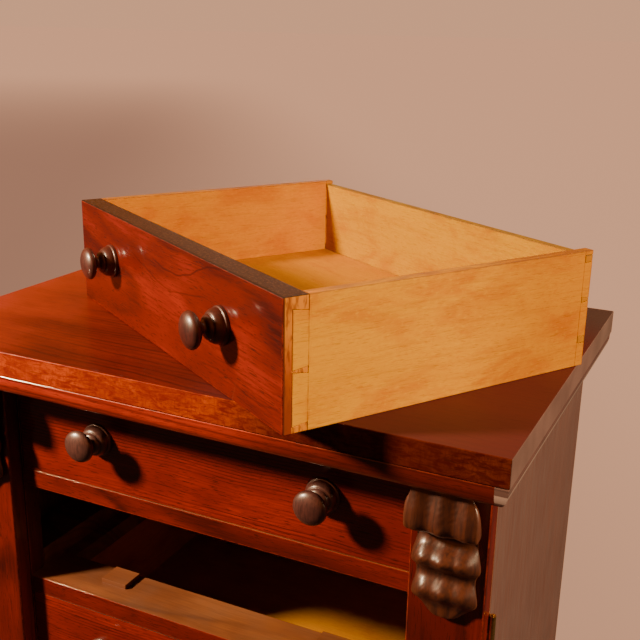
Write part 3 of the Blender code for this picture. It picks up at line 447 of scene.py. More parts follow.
# places on the top are in metres from its middle: along the front, and from front to back
topEdge = {
    "pale": (0.430, 0.0610, 0.0040), "deep": (0.185, 0.0140, 0.0060), "line": (0.045, 0.0048, 0.0030),
    "mottle": (80.0, 190.0, 230.0), "feather": (420.0, 420.0, 120.0), "patches": 17.0,
    # painted light: a paler colour for the top's left end
    "paintedLight": (0.300, 0.0330, 0.0160), "paintedLightAlong": (-0.28, -0.10),
    # painted shade: a darker colour for the top's right end
    "paintedShade": (0.200, 0.0450, 0.0500), "paintedShadeAlong": (0.0, 0.14),
    # painted shade: darker still near the front at the right end
    "rubbedAndPaintedShade": (0.110, 0.0300, 0.0300), "paintedShadeAcross": (-0.19, -0.10),
    # dust with a painted grey reflection towards the top's rear right corner
    "dustAndSheen": (0.074, 0.0500, 0.0500), "dustAndSheenFrom": (0.34, 0.47),
    # the front darkens to the right: on the top's edge partly the wood's own colour and partly painted
    # shade
    "front": 0.0006, "toneAndShadeRight": (0.03, 0.14, 0.32), "ends": 0.0004}
mouldingEdge = {
    # on the moulding the darkening to the right is painted shadow of the laid drawer
    "front": 0.0110, "toneAndShadeRight": (0.03, 0.20, 0.34), "ends": 0.0105,
    # a pale band along the moulding's returns is a painted highlight
    "paintedHighlightBand": (-0.0040, 0.0022), "paintedHighlight": (0.500, 0.3400, 0.3000)}
# end grain made paler and greyer at the ends by a painted reflection of the pale wall; the back edge is
# darker
endGrainAndSheen = {"pale": (0.165, 0.1000, 0.0880), "deep": 0.75, "rear": (0.110, 0.0300, 0.0120)}


def newMaterial(name):
    material = bpy.data.materials.new(name)
    material.use_nodes = True
    tree = Tree(material.node_tree)
    return material, tree, material.node_tree.nodes["Principled BSDF"].inputs


def boardNodes(tree, look):
    board = tree.attribute("board")
    half = tree.attribute("boardHalf")
    seed = tree.attribute("boardSeed", "Fac")
    figure = tree.group(figureGroup, Board=board, Seed=seed, Pith=look["pith"], Aside=look["aside"],
                        Tilt=look["tilt"], Wave=look["wave"], Rings=look["rings"], Fibres=look["fibres"])
    edges = tree.group(edgeGroup, Board=board, Half=half, Seed=seed)
    return board, half, seed, figure, edges


def polishedWood(name, finish, edge=None):
    look = finishes[finish]
    material, tree, shader = newMaterial(name)
    board, half, seed, figure, edges = boardNodes(tree, look)
    colour = polishedColour(tree, look, figure, edges)
    matt = None
    if edge and "pale" in edge:
        colour, matt = topLightShadeAndFigure(tree, colour, edge, board, half, figure)
    if edge:
        colour = edgeToneShadeAndGrain(tree, colour, edge, board, half, figure)
    if "paintedSheen" in look:
        # painted sheen: greyer at a slant, a reflection of the pale wall painted into the colour
        slant = tree.node("ShaderNodeLayerWeight").outputs["Facing"]
        streaks = tree.spread(figure["Fibres"], 0.30, 0.70, 1.0, 0.5)
        colour = tree.lay(colour, look["paintedSheen"], tree.spread(slant, 0.25, 0.60), streaks)
    polish(tree, shader, colour, look, figure, edges, matt)
    return material


def topLightShadeAndFigure(tree, colour, edge, board, half, figure):
    # the top gets painted light at its left, painted shade at its right with more of it near the front,
    # less gloss there, dust with a painted grey reflection at its rear right, and a mottled figure on its
    # front edge
    along, across, through = tree.parts(board)
    halfAlong, halfAcross, halfThrough = tree.parts(half)
    front = tree.fall(tree.plus(across, halfAcross), 0.0005, 0.0009)
    mottle = tree.grain(board, edge["mottle"], 4.0, 0.68, 0.8)
    patch = tree.noise(board, edge["patches"], 2.0, 0.5)
    feather = tree.grain(board, edge["feather"], 3.0, 0.6, 1.0)
    face = tree.mix(tree.spread(mottle, 0.36, 0.66), edge["pale"], edge["deep"])
    face = tree.layers(face, edge, (("deep", tree.spread(patch, 0.42, 0.62), 0.45),
                                    ("deep", tree.spread(feather, 0.42, 0.70), 0.5),
                                    ("line", figure["Pores"], 0.4)))
    # painted light: the top is made paler towards its left end
    paintedLight = tree.fall(tree.plus(along, tree.times(figure["Cloud"], 0.06)), *edge["paintedLightAlong"])
    # painted shade: the top is made darker towards its right end
    paintedShade = tree.spread(along, *edge["paintedShadeAlong"])
    # painted shade: darker still near the front edge at the right
    rubbedAndPaintedShade = tree.spread(across, *edge["paintedShadeAcross"], 0.45, 0.0)
    rows = (("paintedLight", paintedLight, 0.8), ("paintedShade", paintedShade, 0.7), ("rubbedAndPaintedShade", paintedShade, rubbedAndPaintedShade))
    colour = tree.layers(colour, edge, rows)
    # more painted shade: the colour is darkened by up to 40 percent towards the right
    colour = tree.tinted(colour, tree.scaled(paintedShade, -0.40, 1.0))
    # dust with a painted grey reflection towards the rear right corner of the top
    dustAndSheenShare = tree.spread(tree.plus(along, across), *edge["dustAndSheenFrom"])
    colour = tree.mix(dustAndSheenShare, colour, edge["dustAndSheen"])
    matt = tree.math("MAXIMUM", tree.times(front, 0.8), tree.times(paintedShade, 0.85))
    return tree.mix(front, colour, face), matt


def edgeToneShadeAndGrain(tree, colour, edge, board, half, figure):
    # the front darkens to the right, partly the wood's own colour and partly painted shade, and on the
    # moulding painted shadow; the ends and the back show end grain, grey at the ends from a painted
    # reflection
    along, across, through = tree.parts(board)
    halfAlong, halfAcross, halfThrough = tree.parts(half)
    low, high, share = edge["toneAndShadeRight"]
    # partly painted shade: the front is darkened towards its right end
    behind = tree.minus(tree.plus(across, halfAcross), edge["front"])
    dim = tree.math("MAXIMUM", tree.spread(along, low, high, 1.0, share),
                    tree.spread(behind, 0.0, 0.0003, share, 1.0))
    colour = tree.tinted(colour, dim)
    # end grain at the ends, greyed by a painted reflection of the pale wall
    inset = tree.minus(halfAlong, tree.math("ABSOLUTE", along))
    ends = tree.times(tree.fall(inset, edge["ends"], edge["ends"] + 0.0004), 0.85)
    deep = tuple(endGrainAndSheen["deep"] * part for part in endGrainAndSheen["pale"])
    colour = tree.mix(ends, colour, tree.mix(figure["Cloud"], endGrainAndSheen["pale"], deep))
    if "paintedHighlightBand" in edge:
        # painted highlight: a pale line where the moulding's returns stand proud
        low, high = edge["paintedHighlightBand"]
        paintedHighlightBand = tree.times(tree.spread(through, low - 0.0008, low),
                           tree.fall(through, high, high + 0.0008))
        colour = tree.lay(colour, edge["paintedHighlight"], paintedHighlightBand, ends)
    rear = tree.fall(tree.minus(halfAcross, across), 0.0010, 0.0016)
    return tree.mix(rear, colour, endGrainAndSheen["rear"])


def polish(tree, shader, colour, look, figure, edges, matt):
    rough = tree.scaled(figure["Pores"], 0.12, look["rough"])
    coat = tree.scaled(edges["Smudge"], -0.15 * look["coat"], look["coat"])
    if matt:
        coat = tree.times(coat, tree.minus(1.0, matt))
    height = tree.scaled(figure["Pores"], -0.6, tree.times(figure["Fibres"], 0.4))
    tree.dress(shader, {
        "Base Color": colour,
        "Roughness": tree.plus(rough, tree.times(edges["Smudge"], 0.08)),
        "Specular IOR Level": look.get("specular", 0.2),
        "Coat Weight": coat,
        "Coat Roughness": look.get("sheen", 0.06),
        "Normal": tree.bump(height, 0.12, 0.0003)})


def polishedColour(tree, look, figure, edges):
    colour = tree.mix(figure["Cloud"], look["pale"], look["deep"])
    colour = tree.layers(colour, look, (
        ("deep", figure["Bands"], 0.65),
        ("line", figure["Rings"], 0.80),
        ("deep", tree.spread(figure["Fibres"], 0.38, 0.68), look["grain"]),
        ("line", figure["Pores"], look["grain"])))
    worn = (1.3 * look["pale"][0] + 0.01, 1.6 * look["pale"][1] + 0.004, look["pale"][2] + 0.002)
    return tree.lay(colour, worn, edges["Arris"], 0.55)


def drawerWood():
    look = {"pale": (0.765, 0.325, 0.0010), "deep": (0.645, 0.203, 0.0008),
            "line": (0.300, 0.070, 0.0015), "ends": (0.640, 0.140, 0.0010),
            "worn": (0.360, 0.125, 0.0300), "flecks": (0.860, 0.420, 0.0040),
            "dustAndSheen": (0.900, 0.420, 0.0500), "grimy": (0.320, 0.140, 0.0600),
            "smeared": (0.480, 0.110, 0.0010), "rearShadeRed": -0.27, "rearShadeGreen": -0.37,
            "pith": 0.30, "aside": 0.10, "tilt": 0.02, "wave": 0.030, "rings": 45.0, "fibres": 0.8}
    material, tree, shader = newMaterial("drawerWood")
    board, half, seed, figure, edges = boardNodes(tree, look)
    place = tree.vector("ADD", board, tree.join(seed, tree.times(seed, 1.9), 0.0))
    blotch = tree.grain(place, (16.0, 34.0, 34.0), 3.0, 0.55, 0.6)
    ticks = tree.grain(place, (190.0, 420.0, 420.0), 3.0, 0.65)
    # shares of red and green that darken some boards as painted shade, and of dust with painted sheen
    red, green, dustAndSheen = tree.parts(tree.attribute("boardToneAndShade"))
    frontLine, rearLine, stainAndShade = tree.parts(tree.attribute("boardJointsAndShade"))
    along, across, through = tree.parts(board)
    halfAlong, halfAcross, halfThrough = tree.parts(half)
    colour = tree.mix(tree.spread(blotch, 0.42, 0.76), look["pale"], look["deep"])
    colour = tree.layers(colour, look, (
        ("flecks", tree.spread(ticks, 0.52, 0.72), 0.45),
        ("deep", tree.spread(ticks, 0.46, 0.30), 0.45),
        ("line", figure["Rings"], 0.08),
        ("line", tree.spread(figure["Fibres"], 0.45, 0.72), 0.16),
        ("line", figure["Pores"], 0.30),
        ("ends", edges["Ends"], 0.60)))
    # gauge lines at the joints, with a smear of old glue beside them
    fromFront = tree.math("ABSOLUTE", tree.minus(tree.plus(along, halfAlong), frontLine))
    fromRear = tree.math("ABSOLUTE", tree.minus(tree.minus(halfAlong, along), rearLine))
    broken = tree.grain(place, (300.0, 90.0, 90.0), 3.0, 0.6)
    gauge = tree.fall(tree.math("MINIMUM", fromFront, fromRear), 0.00015, 0.0005)
    smear = tree.spread(fromFront, 0.0, 0.0030, 0.5, 0.0)
    rim = tree.fall(tree.minus(halfAcross, across), 0.0004, 0.0007)
    grime = tree.grain(place, (40.0, 300.0, 300.0), 4.0, 0.65)
    colour = tree.layers(colour, look, (
        ("smeared", smear, tree.spread(broken, 0.40, 0.65)),
        ("line", gauge, tree.spread(broken, 0.30, 0.60, 0.25, 0.8)),
        ("grimy", rim, tree.spread(grime, 0.35, 0.62, 0.15, 0.80)),
        ("worn", edges["Arris"], 0.50)))
    # dust on the bottom, with painted sheen that makes it paler
    dustAndSheenShare = tree.times(dustAndSheen, tree.spread(edges["Smudge"], 0.0, 1.0, 0.55, 1.0))
    colour = tree.mix(dustAndSheenShare, colour, look["dustAndSheen"])
    # painted shade: darker towards the rear end of the boards where this share is set
    rearShade = tree.plus(along, tree.times(tree.minus(blotch, 0.5), 0.10))
    rearShade = tree.times(tree.spread(rearShade, -0.02, 0.10), stainAndShade)
    red = tree.times(red, tree.scaled(rearShade, look["rearShadeRed"], 1.0))
    green = tree.times(green, tree.scaled(rearShade, look["rearShadeGreen"], 1.0))
    height = tree.scaled(figure["Pores"], -0.5, tree.times(figure["Fibres"], 0.5))
    tree.dress(shader, {
        "Base Color": tree.tinted(colour, red, green),
        "Roughness": tree.scaled(edges["Smudge"], 0.15, 0.55),
        "Specular IOR Level": 0.04,
        "Normal": tree.bump(height, 0.35, 0.0004)})
    return material


def vein(tree, board, half, points, width):
    # a dark line across the board through points given as shares of its length and height
    share = tree.vector("DIVIDE", board, half)
    along, across, through = tree.parts(tree.vector("MULTIPLY_ADD", share, (0.5, 0.5, 0.5)))
    curve = tree.node("ShaderNodeFloatCurve")
    line = curve.mapping.curves[0]
    line.points[0].location = points[0]
    line.points[1].location = points[-1]
    for x, y in points[1:-1]:
        line.points.new(x, y)
    curve.mapping.update()
    tree.feed(curve.inputs["Value"], along)
    wobble = tree.grain(board, (60.0, 60.0, 1.0), 2.0, 0.5)
    gap = tree.minus(tree.plus(across, tree.times(wobble, 0.03)), curve.outputs[0])
    gap = tree.math("ABSOLUTE", tree.minus(gap, 0.015))
    mask = tree.fall(gap, width * 0.15, width)
    start = tree.spread(along, points[0][0], points[0][0] + 0.04)
    stop = tree.fall(along, points[-1][0] - 0.04, points[-1][0])
    return tree.times(mask, tree.times(start, stop))


def veneeredFront(name, look, veins=()):
    # mahogany veneer on the face, a dark stained top edge and a paler core that shows at the ends
    ends = {"core": (0.680, 0.2200, 0.0015), "lapHigh": (0.620, 0.1900, 0.0015),
            "lap": (0.440, 0.0850, 0.0010), "lapLow": (0.240, 0.0320, 0.0010),
            "smudge": (0.210, 0.0320, 0.0010), "glue": (0.050, 0.0080, 0.0010),
            "lapThick": 0.0080, "glueAt": 0.0015}
    upper = {"stainAndShade": (0.016, 0.0090, 0.0058), "deep": (0.0075, 0.0042, 0.0034),
             "speckle": (0.074, 0.0390, 0.0240), "rubbedAndPaintedShade": (0.012, 0.0050, 0.0040)}
    material, tree, shader = newMaterial(name)
    board, half, seed, figure, edges = boardNodes(tree, look)
    along, across, through = tree.parts(board)
    halfAlong, halfAcross, halfThrough = tree.parts(half)
    behind = tree.plus(through, halfThrough)
    below = tree.minus(halfAcross, across)
    veneer = tree.fall(behind, 0.0009, 0.0012)
    topmost = tree.fall(below, 0.0005, 0.0008)
    face = polishedColour(tree, look, figure, edges)
    for points, width, strength in veins:
        face = tree.lay(face, look["line"], vein(tree, board, half, points, width), strength)
    lap = tree.fall(behind, ends["lapThick"] - 0.0004, ends["lapThick"] + 0.0004)
    low = tree.fall(tree.plus(across, tree.times(figure["Cloud"], 0.03)), -0.03, 0.03)
    high = tree.spread(tree.plus(across, tree.times(figure["Cloud"], 0.02)), 0.020, 0.045)
    band = tree.mix(high, tree.mix(low, ends["lap"], ends["lapLow"]), ends["lapHigh"])
    smudge = tree.grain(board, (200.0, 60.0, 300.0), 3.0, 0.6)
    core = tree.mix(lap, ends["core"], band)
    core = tree.mix(tree.spread(smudge, 0.47, 0.66, 0.0, 0.8), core, ends["smudge"])
    glue = tree.math("ABSOLUTE", tree.minus(behind, ends["glueAt"]))
    core = tree.mix(tree.spread(glue, 0.0003, 0.0006, 0.85, 0.0), core, ends["glue"])
    speckle = tree.grain(board, (260.0, 420.0, 420.0), 4.0, 0.75)
    stainAndShade = tree.mix(tree.spread(figure["Fibres"], 0.30, 0.75), upper["stainAndShade"], upper["deep"])
    stainAndShade = tree.mix(tree.spread(speckle, 0.51, 0.58), stainAndShade, upper["speckle"])
    stainAndShade = tree.mix(tree.spread(behind, 0.0012, 0.0030, 0.6, 0.0), stainAndShade, upper["rubbedAndPaintedShade"])
    gloss = tree.times(veneer, tree.minus(1.0, topmost))
    height = tree.scaled(figure["Pores"], -0.6, tree.times(figure["Fibres"], 0.4))
    tree.dress(shader, {
        "Base Color": tree.lay(tree.mix(veneer, core, face), stainAndShade, topmost, 0.96),
        "Roughness": tree.scaled(figure["Pores"], 0.12, tree.scaled(gloss, -0.22, 0.58)),
        "Specular IOR Level": 0.2,
        "Coat Weight": tree.times(gloss, look["coat"]),
        "Coat Roughness": 0.10,
        "Normal": tree.bump(height, 0.15, 0.0003)})
    return material


def carcaseWood():
    look = {"pale": (0.260, 0.085, 0.020), "deep": (0.160, 0.046, 0.011), "line": (0.070, 0.020, 0.007),
            "grimy": (0.10, 0.06, 0.04),
            "pith": 0.10, "aside": 0.10, "tilt": 0.05, "wave": 0.030, "rings": 110.0, "fibres": 1.0}
    material, tree, shader = newMaterial("carcaseWood")
    board, half, seed, figure, edges = boardNodes(tree, look)
    colour = tree.mix(figure["Cloud"], look["pale"], look["deep"])
    fibres = tree.spread(figure["Fibres"], 0.4, 0.7)
    rows = (("line", figure["Rings"], 0.6), ("line", fibres, 0.3), ("grimy", edges["Smudge"], 0.4))
    tree.dress(shader, {
        "Base Color": tree.layers(colour, look, rows),
        "Roughness": tree.scaled(edges["Smudge"], 0.15, 0.62),
        "Normal": tree.bump(figure["Fibres"], 0.4, 0.0005)})
    return material


def knobWood():
    # dark turned hardwood, paler where hands have worn it
    look = {"pale": (0.064, 0.0100, 0.0080), "deep": (0.026, 0.0052, 0.0045),
            "wornPale": (0.100, 0.0390, 0.0340), "wornDeep": (0.050, 0.0190, 0.0170),
            "warm": (0.095, 0.0230, 0.0180), "hollow": (0.012, 0.005, 0.004)}
    material, tree, shader = newMaterial("knobWood")
    place = tree.place()
    hollow = tree.attribute("hollow", "Fac")
    streaks = tree.grain(place, (700.0, 700.0, 90.0), 3.0, 0.6)
    cloud = tree.noise(place, 90.0, 3.0, 0.6)
    grain = tree.spread(streaks, 0.35, 0.70)
    colour = tree.mix(grain, look["pale"], look["deep"])
    colour = tree.lay(colour, look["warm"], tree.spread(cloud, 0.45, 0.75), 0.5)
    bleached = tree.attribute("handled", "Fac")
    colour = tree.mix(bleached, colour, tree.mix(grain, look["wornPale"], look["wornDeep"]))
    tree.dress(shader, {
        "Base Color": tree.mix(tree.spread(hollow, 0.05, 0.20, 0.0, 0.7), colour, look["hollow"]),
        "Roughness": tree.scaled(cloud, 0.20, 0.32),
        "Coat Weight": tree.scaled(bleached, 0.45, 0.45),
        "Coat Roughness": 0.25,
        "Normal": tree.bump(streaks, 0.15, 0.0003)})
    return material


def carvedWood():
    look = {"pale": (0.080, 0.0210, 0.0100), "deep": (0.036, 0.0110, 0.0065),
            "hollow": (0.012, 0.0055, 0.0040), "rubbedAndPaintedShade": (0.140, 0.0380, 0.0170)}
    material, tree, shader = newMaterial("carvedWood")
    place = tree.place()
    hollow = tree.attribute("hollow", "Fac")
    streaks = tree.grain(place, (320.0, 320.0, 26.0), 3.0, 0.6)
    cloud = tree.noise(place, 40.0, 3.0, 0.6)
    colour = tree.mix(tree.spread(streaks, 0.35, 0.70), look["pale"], look["deep"])
    colour = tree.mix(tree.spread(hollow, 0.01, 0.10), colour, look["hollow"])
    tree.dress(shader, {
        "Base Color": tree.mix(tree.spread(hollow, -0.03, -0.12, 0.0, 0.6), colour, look["rubbedAndPaintedShade"]),
        "Roughness": tree.scaled(cloud, 0.25, 0.26),
        "Coat Weight": 0.3,
        "Coat Roughness": 0.2,
        "Normal": tree.bump(streaks, 0.2, 0.0004)})
    return material


def agedBrass():
    look = {"bright": (0.600, 0.410, 0.160), "dull": (0.230, 0.130, 0.050)}
    material, tree, shader = newMaterial("agedBrass")
    place = tree.place()
    cloud = tree.noise(place, 130.0, 4.0, 0.62)
    fine = tree.grain(place, (300.0, 300.0, 2500.0), 2.0, 0.5)
    tree.dress(shader, {
        "Base Color": tree.mix(tree.spread(cloud, 0.35, 0.68), look["bright"], look["dull"]),
        "Metallic": 1.0,
        "Roughness": tree.scaled(cloud, 0.35, 0.18),
        "Normal": tree.bump(fine, 0.1, 0.0002)})
    return material


def rustedIron():
    look = {"iron": (0.060, 0.045, 0.038), "rust": (0.110, 0.038, 0.016)}
    material, tree, shader = newMaterial("rustedIron")
    place = tree.place()
    cloud = tree.noise(place, 260.0, 4.0, 0.62)
    tree.dress(shader, {
        "Base Color": tree.mix(tree.spread(cloud, 0.40, 0.62), look["iron"], look["rust"]),
        "Metallic": tree.spread(cloud, 0.40, 0.62, 0.9, 0.1),
        "Roughness": tree.scaled(cloud, 0.4, 0.4)})
    return material


# veins of the laid drawer's front: points as shares of its length and height, width, strength
laidVeins = [
    ([(0.43, 0.81), (0.54, 0.75), (0.62, 0.80), (0.71, 0.94), (0.80, 1.0)], 0.012, 0.60),
    ([(0.31, 0.76), (0.42, 0.66), (0.52, 0.59), (0.62, 0.64), (0.72, 0.71)], 0.011, 0.50),
    ([(0.20, 0.62), (0.34, 0.48), (0.50, 0.40), (0.66, 0.43), (0.80, 0.52)], 0.009, 0.35),
    ([(0.05, 0.50), (0.20, 0.36), (0.36, 0.28), (0.50, 0.30), (0.60, 0.36)], 0.009, 0.30),
    ([(0.66, 0.12), (0.76, 0.17), (0.88, 0.13), (1.0, 0.18)], 0.014, 0.35),
    ([(0.72, 0.24), (0.84, 0.27), (1.0, 0.22)], 0.010, 0.35),
]
topFinish = polishedWood("topMahogany", "topMahogany", topEdge)
mouldingFinish = polishedWood("mouldingMahogany", "edgeMahogany", mouldingEdge)
frontFinish = polishedWood("frontMahogany", "frontMahogany")
sideFinish = polishedWood("sideMahogany", "sideMahogany")
drawerFinish = drawerWood()
laidFinish = veneeredFront("laidFront", finishes["frontMahogany"], laidVeins)
veneerFinish = veneeredFront("drawerFront", finishes["drawerMahogany"])
carcaseFinish = carcaseWood()
knobFinish = knobWood()
carvedFinish = carvedWood()
brassFinish = agedBrass()
ironFinish = rustedIron()
print("materials made")


# top board and moulding

def makeTop():
    look = {"arris": 0.0008, "cuts": 46, "chip": 0.00012, "reach": 0.0030}
    piece = addBlock("topBoard", topLow, topHigh)
    roundArrises(piece, look["arris"])
    roughenArrises(piece, look["cuts"], look["chip"], look["reach"])
    shadeWorn(piece)
    markBoard(piece, "xyz", 3.0)
    finishPiece(piece, "carcase", "mahogany", topFinish, "top_board")


def roughenArrises(piece, cuts, depth, reach):
    # slices the piece along its length, then nibbles the corner points inwards here and there
    low = Vector([min(v.co[i] for v in piece.data.vertices) for i in range(3)])
    high = Vector([max(v.co[i] for v in piece.data.vertices) for i in range(3)])
    size = high - low
    longest = max(size)
    for axis in range(3):
        count = round(cuts * size[axis] / longest)
        if count < 6:
            continue
        normal = Vector([float(i == axis) for i in range(3)])
        for step in range(1, count):
            openWhole(piece)
            place = low + normal * (size[axis] * step / count)
            bpy.ops.mesh.bisect(plane_co=place, plane_no=normal)
            leaveEdit()
    centre = (low + high) / 2
    for vertex in piece.data.vertices:
        gaps = [size[i] / 2 - abs(vertex.co[i] - centre[i]) for i in range(3)]
        near = [gap < reach for gap in gaps]
        if sum(near) < 2:
            continue
        amount = max(0.0, noise.noise(vertex.co * 55.0) + 0.15) * depth * 2.2
        for i in range(3):
            if near[i]:
                vertex.co[i] -= math.copysign(amount * 0.7, vertex.co[i] - centre[i])


def makeMoulding():
    look = {"bead": 0.0015, "step": 0.0004, "reach": 0.0100, "thumbSteps": 14, "beadSteps": 6}
    low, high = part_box("moulded_subtop")
    height = high.z - low.z
    bead, reach = look["bead"], look["reach"]
    thumbHigh = height - 2.4 * bead
    # how far in and how high each edge of the section is: a thumb, then a small bead over it
    profile = []
    for step in range(look["thumbSteps"] + 1):
        angle = math.radians(270 - 90 * step / look["thumbSteps"])
        profile.append((look["step"] + reach * (1 + math.cos(angle)), thumbHigh * (1 + math.sin(angle))))
    for step in range(look["beadSteps"] + 1):
        angle = math.radians(225 - 135 * step / look["beadSteps"])
        profile.append((bead * (1 + math.cos(angle)), height - bead * (1 - math.sin(angle))))
    rear = high.y
    centre = Vector(((low.x + high.x) / 2, rear, 0.0))
    halfWidth = (high.x - low.x) / 2
    halfDepth = rear - low.y
    inward, level = profile[0]
    bpy.ops.object.select_all(action="DESELECT")
    bpy.ops.mesh.primitive_plane_add(size=2.0, location=(centre.x, centre.y, low.z + level))
    piece = bpy.context.object
    piece.name = "thumbMoulding"
    piece.scale = (halfWidth - inward, halfDepth - inward, 1.0)
    applyPlace(piece)
    openWhole(piece)
    for nextInward, nextLevel in profile[1:]:
        bpy.ops.mesh.extrude_region_move(TRANSFORM_OT_translate={"value": (0, 0, nextLevel - level)})
        wider = (halfWidth - nextInward) / (halfWidth - inward)
        deeper = (halfDepth - nextInward) / (halfDepth - inward)
        middle = (centre.x, centre.y, low.z + nextLevel)
        bpy.ops.transform.resize(value=(wider, deeper, 1), center_override=middle)
        inward, level = nextInward, nextLevel
    selectWhole()
    bpy.ops.mesh.bisect(plane_co=(centre.x, rear, 0), plane_no=(0, 1, 0), clear_outer=True, use_fill=True)
    selectWhole()
    bpy.ops.mesh.normals_make_consistent(inside=False)
    leaveEdit()
    shadeWorn(piece, 40)
    markBoard(piece, "xyz", 8.0)
    finishPiece(piece, "carcase", "mahogany", mouldingFinish, "moulded_subtop")


makeTop()
makeMoulding()
print("top made")


# drawers

def drawerPlace(number):
    low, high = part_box(f"drawer_{number}_front")
    if number == laidNumber:
        place = (middleX + laidDrawer["across"], topFront + laidDrawer["back"], low.z)
        return Matrix.Translation(place) @ Matrix.Rotation(math.radians(laidDrawer["turn"]), 4, "Z")
    return Matrix.Translation(((low.x + high.x) / 2, low.y, low.z))


def knobProfile():
    # half section from the ball's tip to the back of the flange: radius, distance before the drawer, in mm
    look = {"ball": 15.8, "thick": 7.1, "at": 26.8, "end": -62, "steps": 19}
    points = []
    for step in range(look["steps"] + 1):
        angle = math.radians(90 - (90 - look["end"]) * step / look["steps"])
        points.append((look["ball"] * math.cos(angle), look["at"] + look["thick"] * math.sin(angle)))
    points[0] = (0.0, points[0][1])
    neck = [(6.6, 20.1), (6.0, 19.5), (5.7, 18.6), (5.5, 17.5), (5.5, 16.6), (5.8, 15.8), (6.3, 15.3)]
    shoulder = [(7.2, 15.0), (8.3, 14.6), (9.3, 13.9), (10.1, 13.0), (10.6, 12.2), (10.8, 11.7)]
    shoulder += [(10.7, 11.45)]
    bead = [(10.9, 11.35), (11.25, 11.3), (11.4, 11.1), (11.3, 10.9), (11.2, 10.8)]
    bell = [(11.7, 10.7), (12.5, 10.1), (13.3, 9.1), (14.0, 7.8), (14.5, 6.4), (14.8, 5.0), (14.85, 4.0)]
    flange = [(14.9, 3.4), (15.2, 3.05), (15.7, 2.95), (16.1, 2.7), (16.3, 2.3), (16.3, 0.3), (0.0, 0.3)]
    points += neck + shoulder + bead + bell + flange
    return [(radius / 1000, along / 1000) for radius, along in points]


def makeKnob():
    profile = knobProfile()
    mesh = bpy.data.meshes.new("turnedKnob")
    mesh.from_pydata([(radius, -along, 0.0) for radius, along in profile],
                     [(i, i + 1) for i in range(len(profile) - 1)], [])
    piece = bpy.data.objects.new("turnedKnob", mesh)
    bpy.context.scene.collection.objects.link(piece)
    openWhole(piece)
    bpy.ops.mesh.spin(steps=40, angle=2 * math.pi, center=(0, 0, 0), axis=(0, 1, 0))
    selectWhole()
    bpy.ops.mesh.remove_doubles(threshold=0.00002)
    selectWhole()
    bpy.ops.mesh.normals_make_consistent(inside=False)
    leaveEdit()
    bpy.ops.object.shade_smooth_by_angle(angle=math.radians(50))
    markHollows(piece, 1)
    return piece


def makeDrawers():
    home = drawerPlace(laidNumber).inverted()
    boards = {
        "front": ("xzy", "mahogany", veneerFinish, 0.0006),
        "side_left": ("yzx", "drawer_wood", drawerFinish, 0.0004),
        "side_right": ("yzx", "drawer_wood", drawerFinish, 0.0004),
        "back": ("xzy", "drawer_wood", drawerFinish, 0.0004),
        "bottom": ("xyz", "drawer_wood", drawerFinish, 0.0),
    }
    # the inner boards are darkened as painted shade inside the drawer, the right side gets painted shade
    # towards its rear, and the bottom gets dust with painted sheen
    looks = {
        "side_left": ((0.76, 0.66, 0.0), (0.0136, 0.0090, 0.0)),
        "side_right": ((1.0, 1.0, 0.0), (0.0136, 0.0090, 1.0)),
        "back": ((0.64, 0.78, 0.0), (0.0095, 0.0095, 0.0)),
        "bottom": ((0.68, 0.67, 0.35), (-1.0, -1.0, 0.0)),
    }
    patterns = {}
    for part, (axes, slot, material, arris) in boards.items():
        piece = workedCopy(f"drawer_{laidNumber}_{part}", f"pattern-{part}", arris)
        piece.data.transform(home)
        markBoard(piece, axes, 0.0)
        patterns[part] = piece
    knob = makeKnob()
    for number in drawerNumbers:
        body = f"drawer_{number}"
        place = drawerPlace(number)
        for index, (part, (axes, slot, material, arris)) in enumerate(boards.items()):
            piece = copyOf(patterns[part], f"drawer{number}-{part.replace('_', '-')}")
            setSeed(piece, 1.7 * number + 0.31 * index)
            if part in looks:
                setLook(piece, *looks[part])
            piece.data.transform(place)
            shadeWorn(piece)
            if number == laidNumber and part == "front":
                material = laidFinish
            if number == laidNumber or part == "front":
                nodes = [f"{body}_{part}"]
            else:
                nodes = [f"{body}_box"]
            finishPiece(piece, body, slot, material, *nodes)
        for hand in ("left", "right"):
            low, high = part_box(f"{body}_knob_{hand}")
            piece = copyOf(knob, f"drawer{number}-knob-{hand}")
            settleKnob(piece, number, hand)
            piece.data.transform(place @ Matrix.Translation(knobSpot(place, low, high)))
            finishPiece(piece, body, "knob_wood", knobFinish, f"{body}_knob_{hand}")
    for piece in [*patterns.values(), knob]:
        bpy.data.objects.remove(piece, do_unlink=True)


def settleKnob(piece, number, hand):
    # no two are quite alike: each stands further in or out, leans a touch and is turned about its axis
    look = {"out": 1.4, "lean": 1.2,
            "known": {(2, "left"): (-2.6, 0.0, 0.0), (1, "left"): (0.8, -0.4, 3.6)},
            "handled": {(2, "left"): 0.2, (2, "right"): 0.0, (1, "left"): 0.9},
            "neck": 0.012, "ball": 0.0268}
    chance = strayAt((number * 3.7, 1.3 if hand == "left" else 8.9, 0.5))
    handled = look["handled"].get((number, hand), 0.4 + 0.6 * chance.y)
    mark(piece, "handled", [min(1.0, max(0.0, handled))] * len(piece.data.vertices))
    usual = (chance.x * look["out"], chance.y * look["lean"], 0.0)
    out, along, up = look["known"].get((number, hand), usual)
    turn = Matrix.Rotation(chance.z * 6.0, 4, "Y")
    for vertex in piece.data.vertices:
        vertex.co = turn @ vertex.co
        share = min(1.0, max(0.0, (-vertex.co.y - look["neck"]) / (look["ball"] - look["neck"])))
        vertex.co += Vector((along, -out, up)) * (share / 1000)


def knobSpot(place, low, high):
    # the knob's axis on the drawer's face, in the drawer's own frame
    middle = place.inverted() @ ((low + high) / 2)
    return Vector((middle.x, 0.0, middle.z))


makeDrawers()
print("drawers made")


# carcase

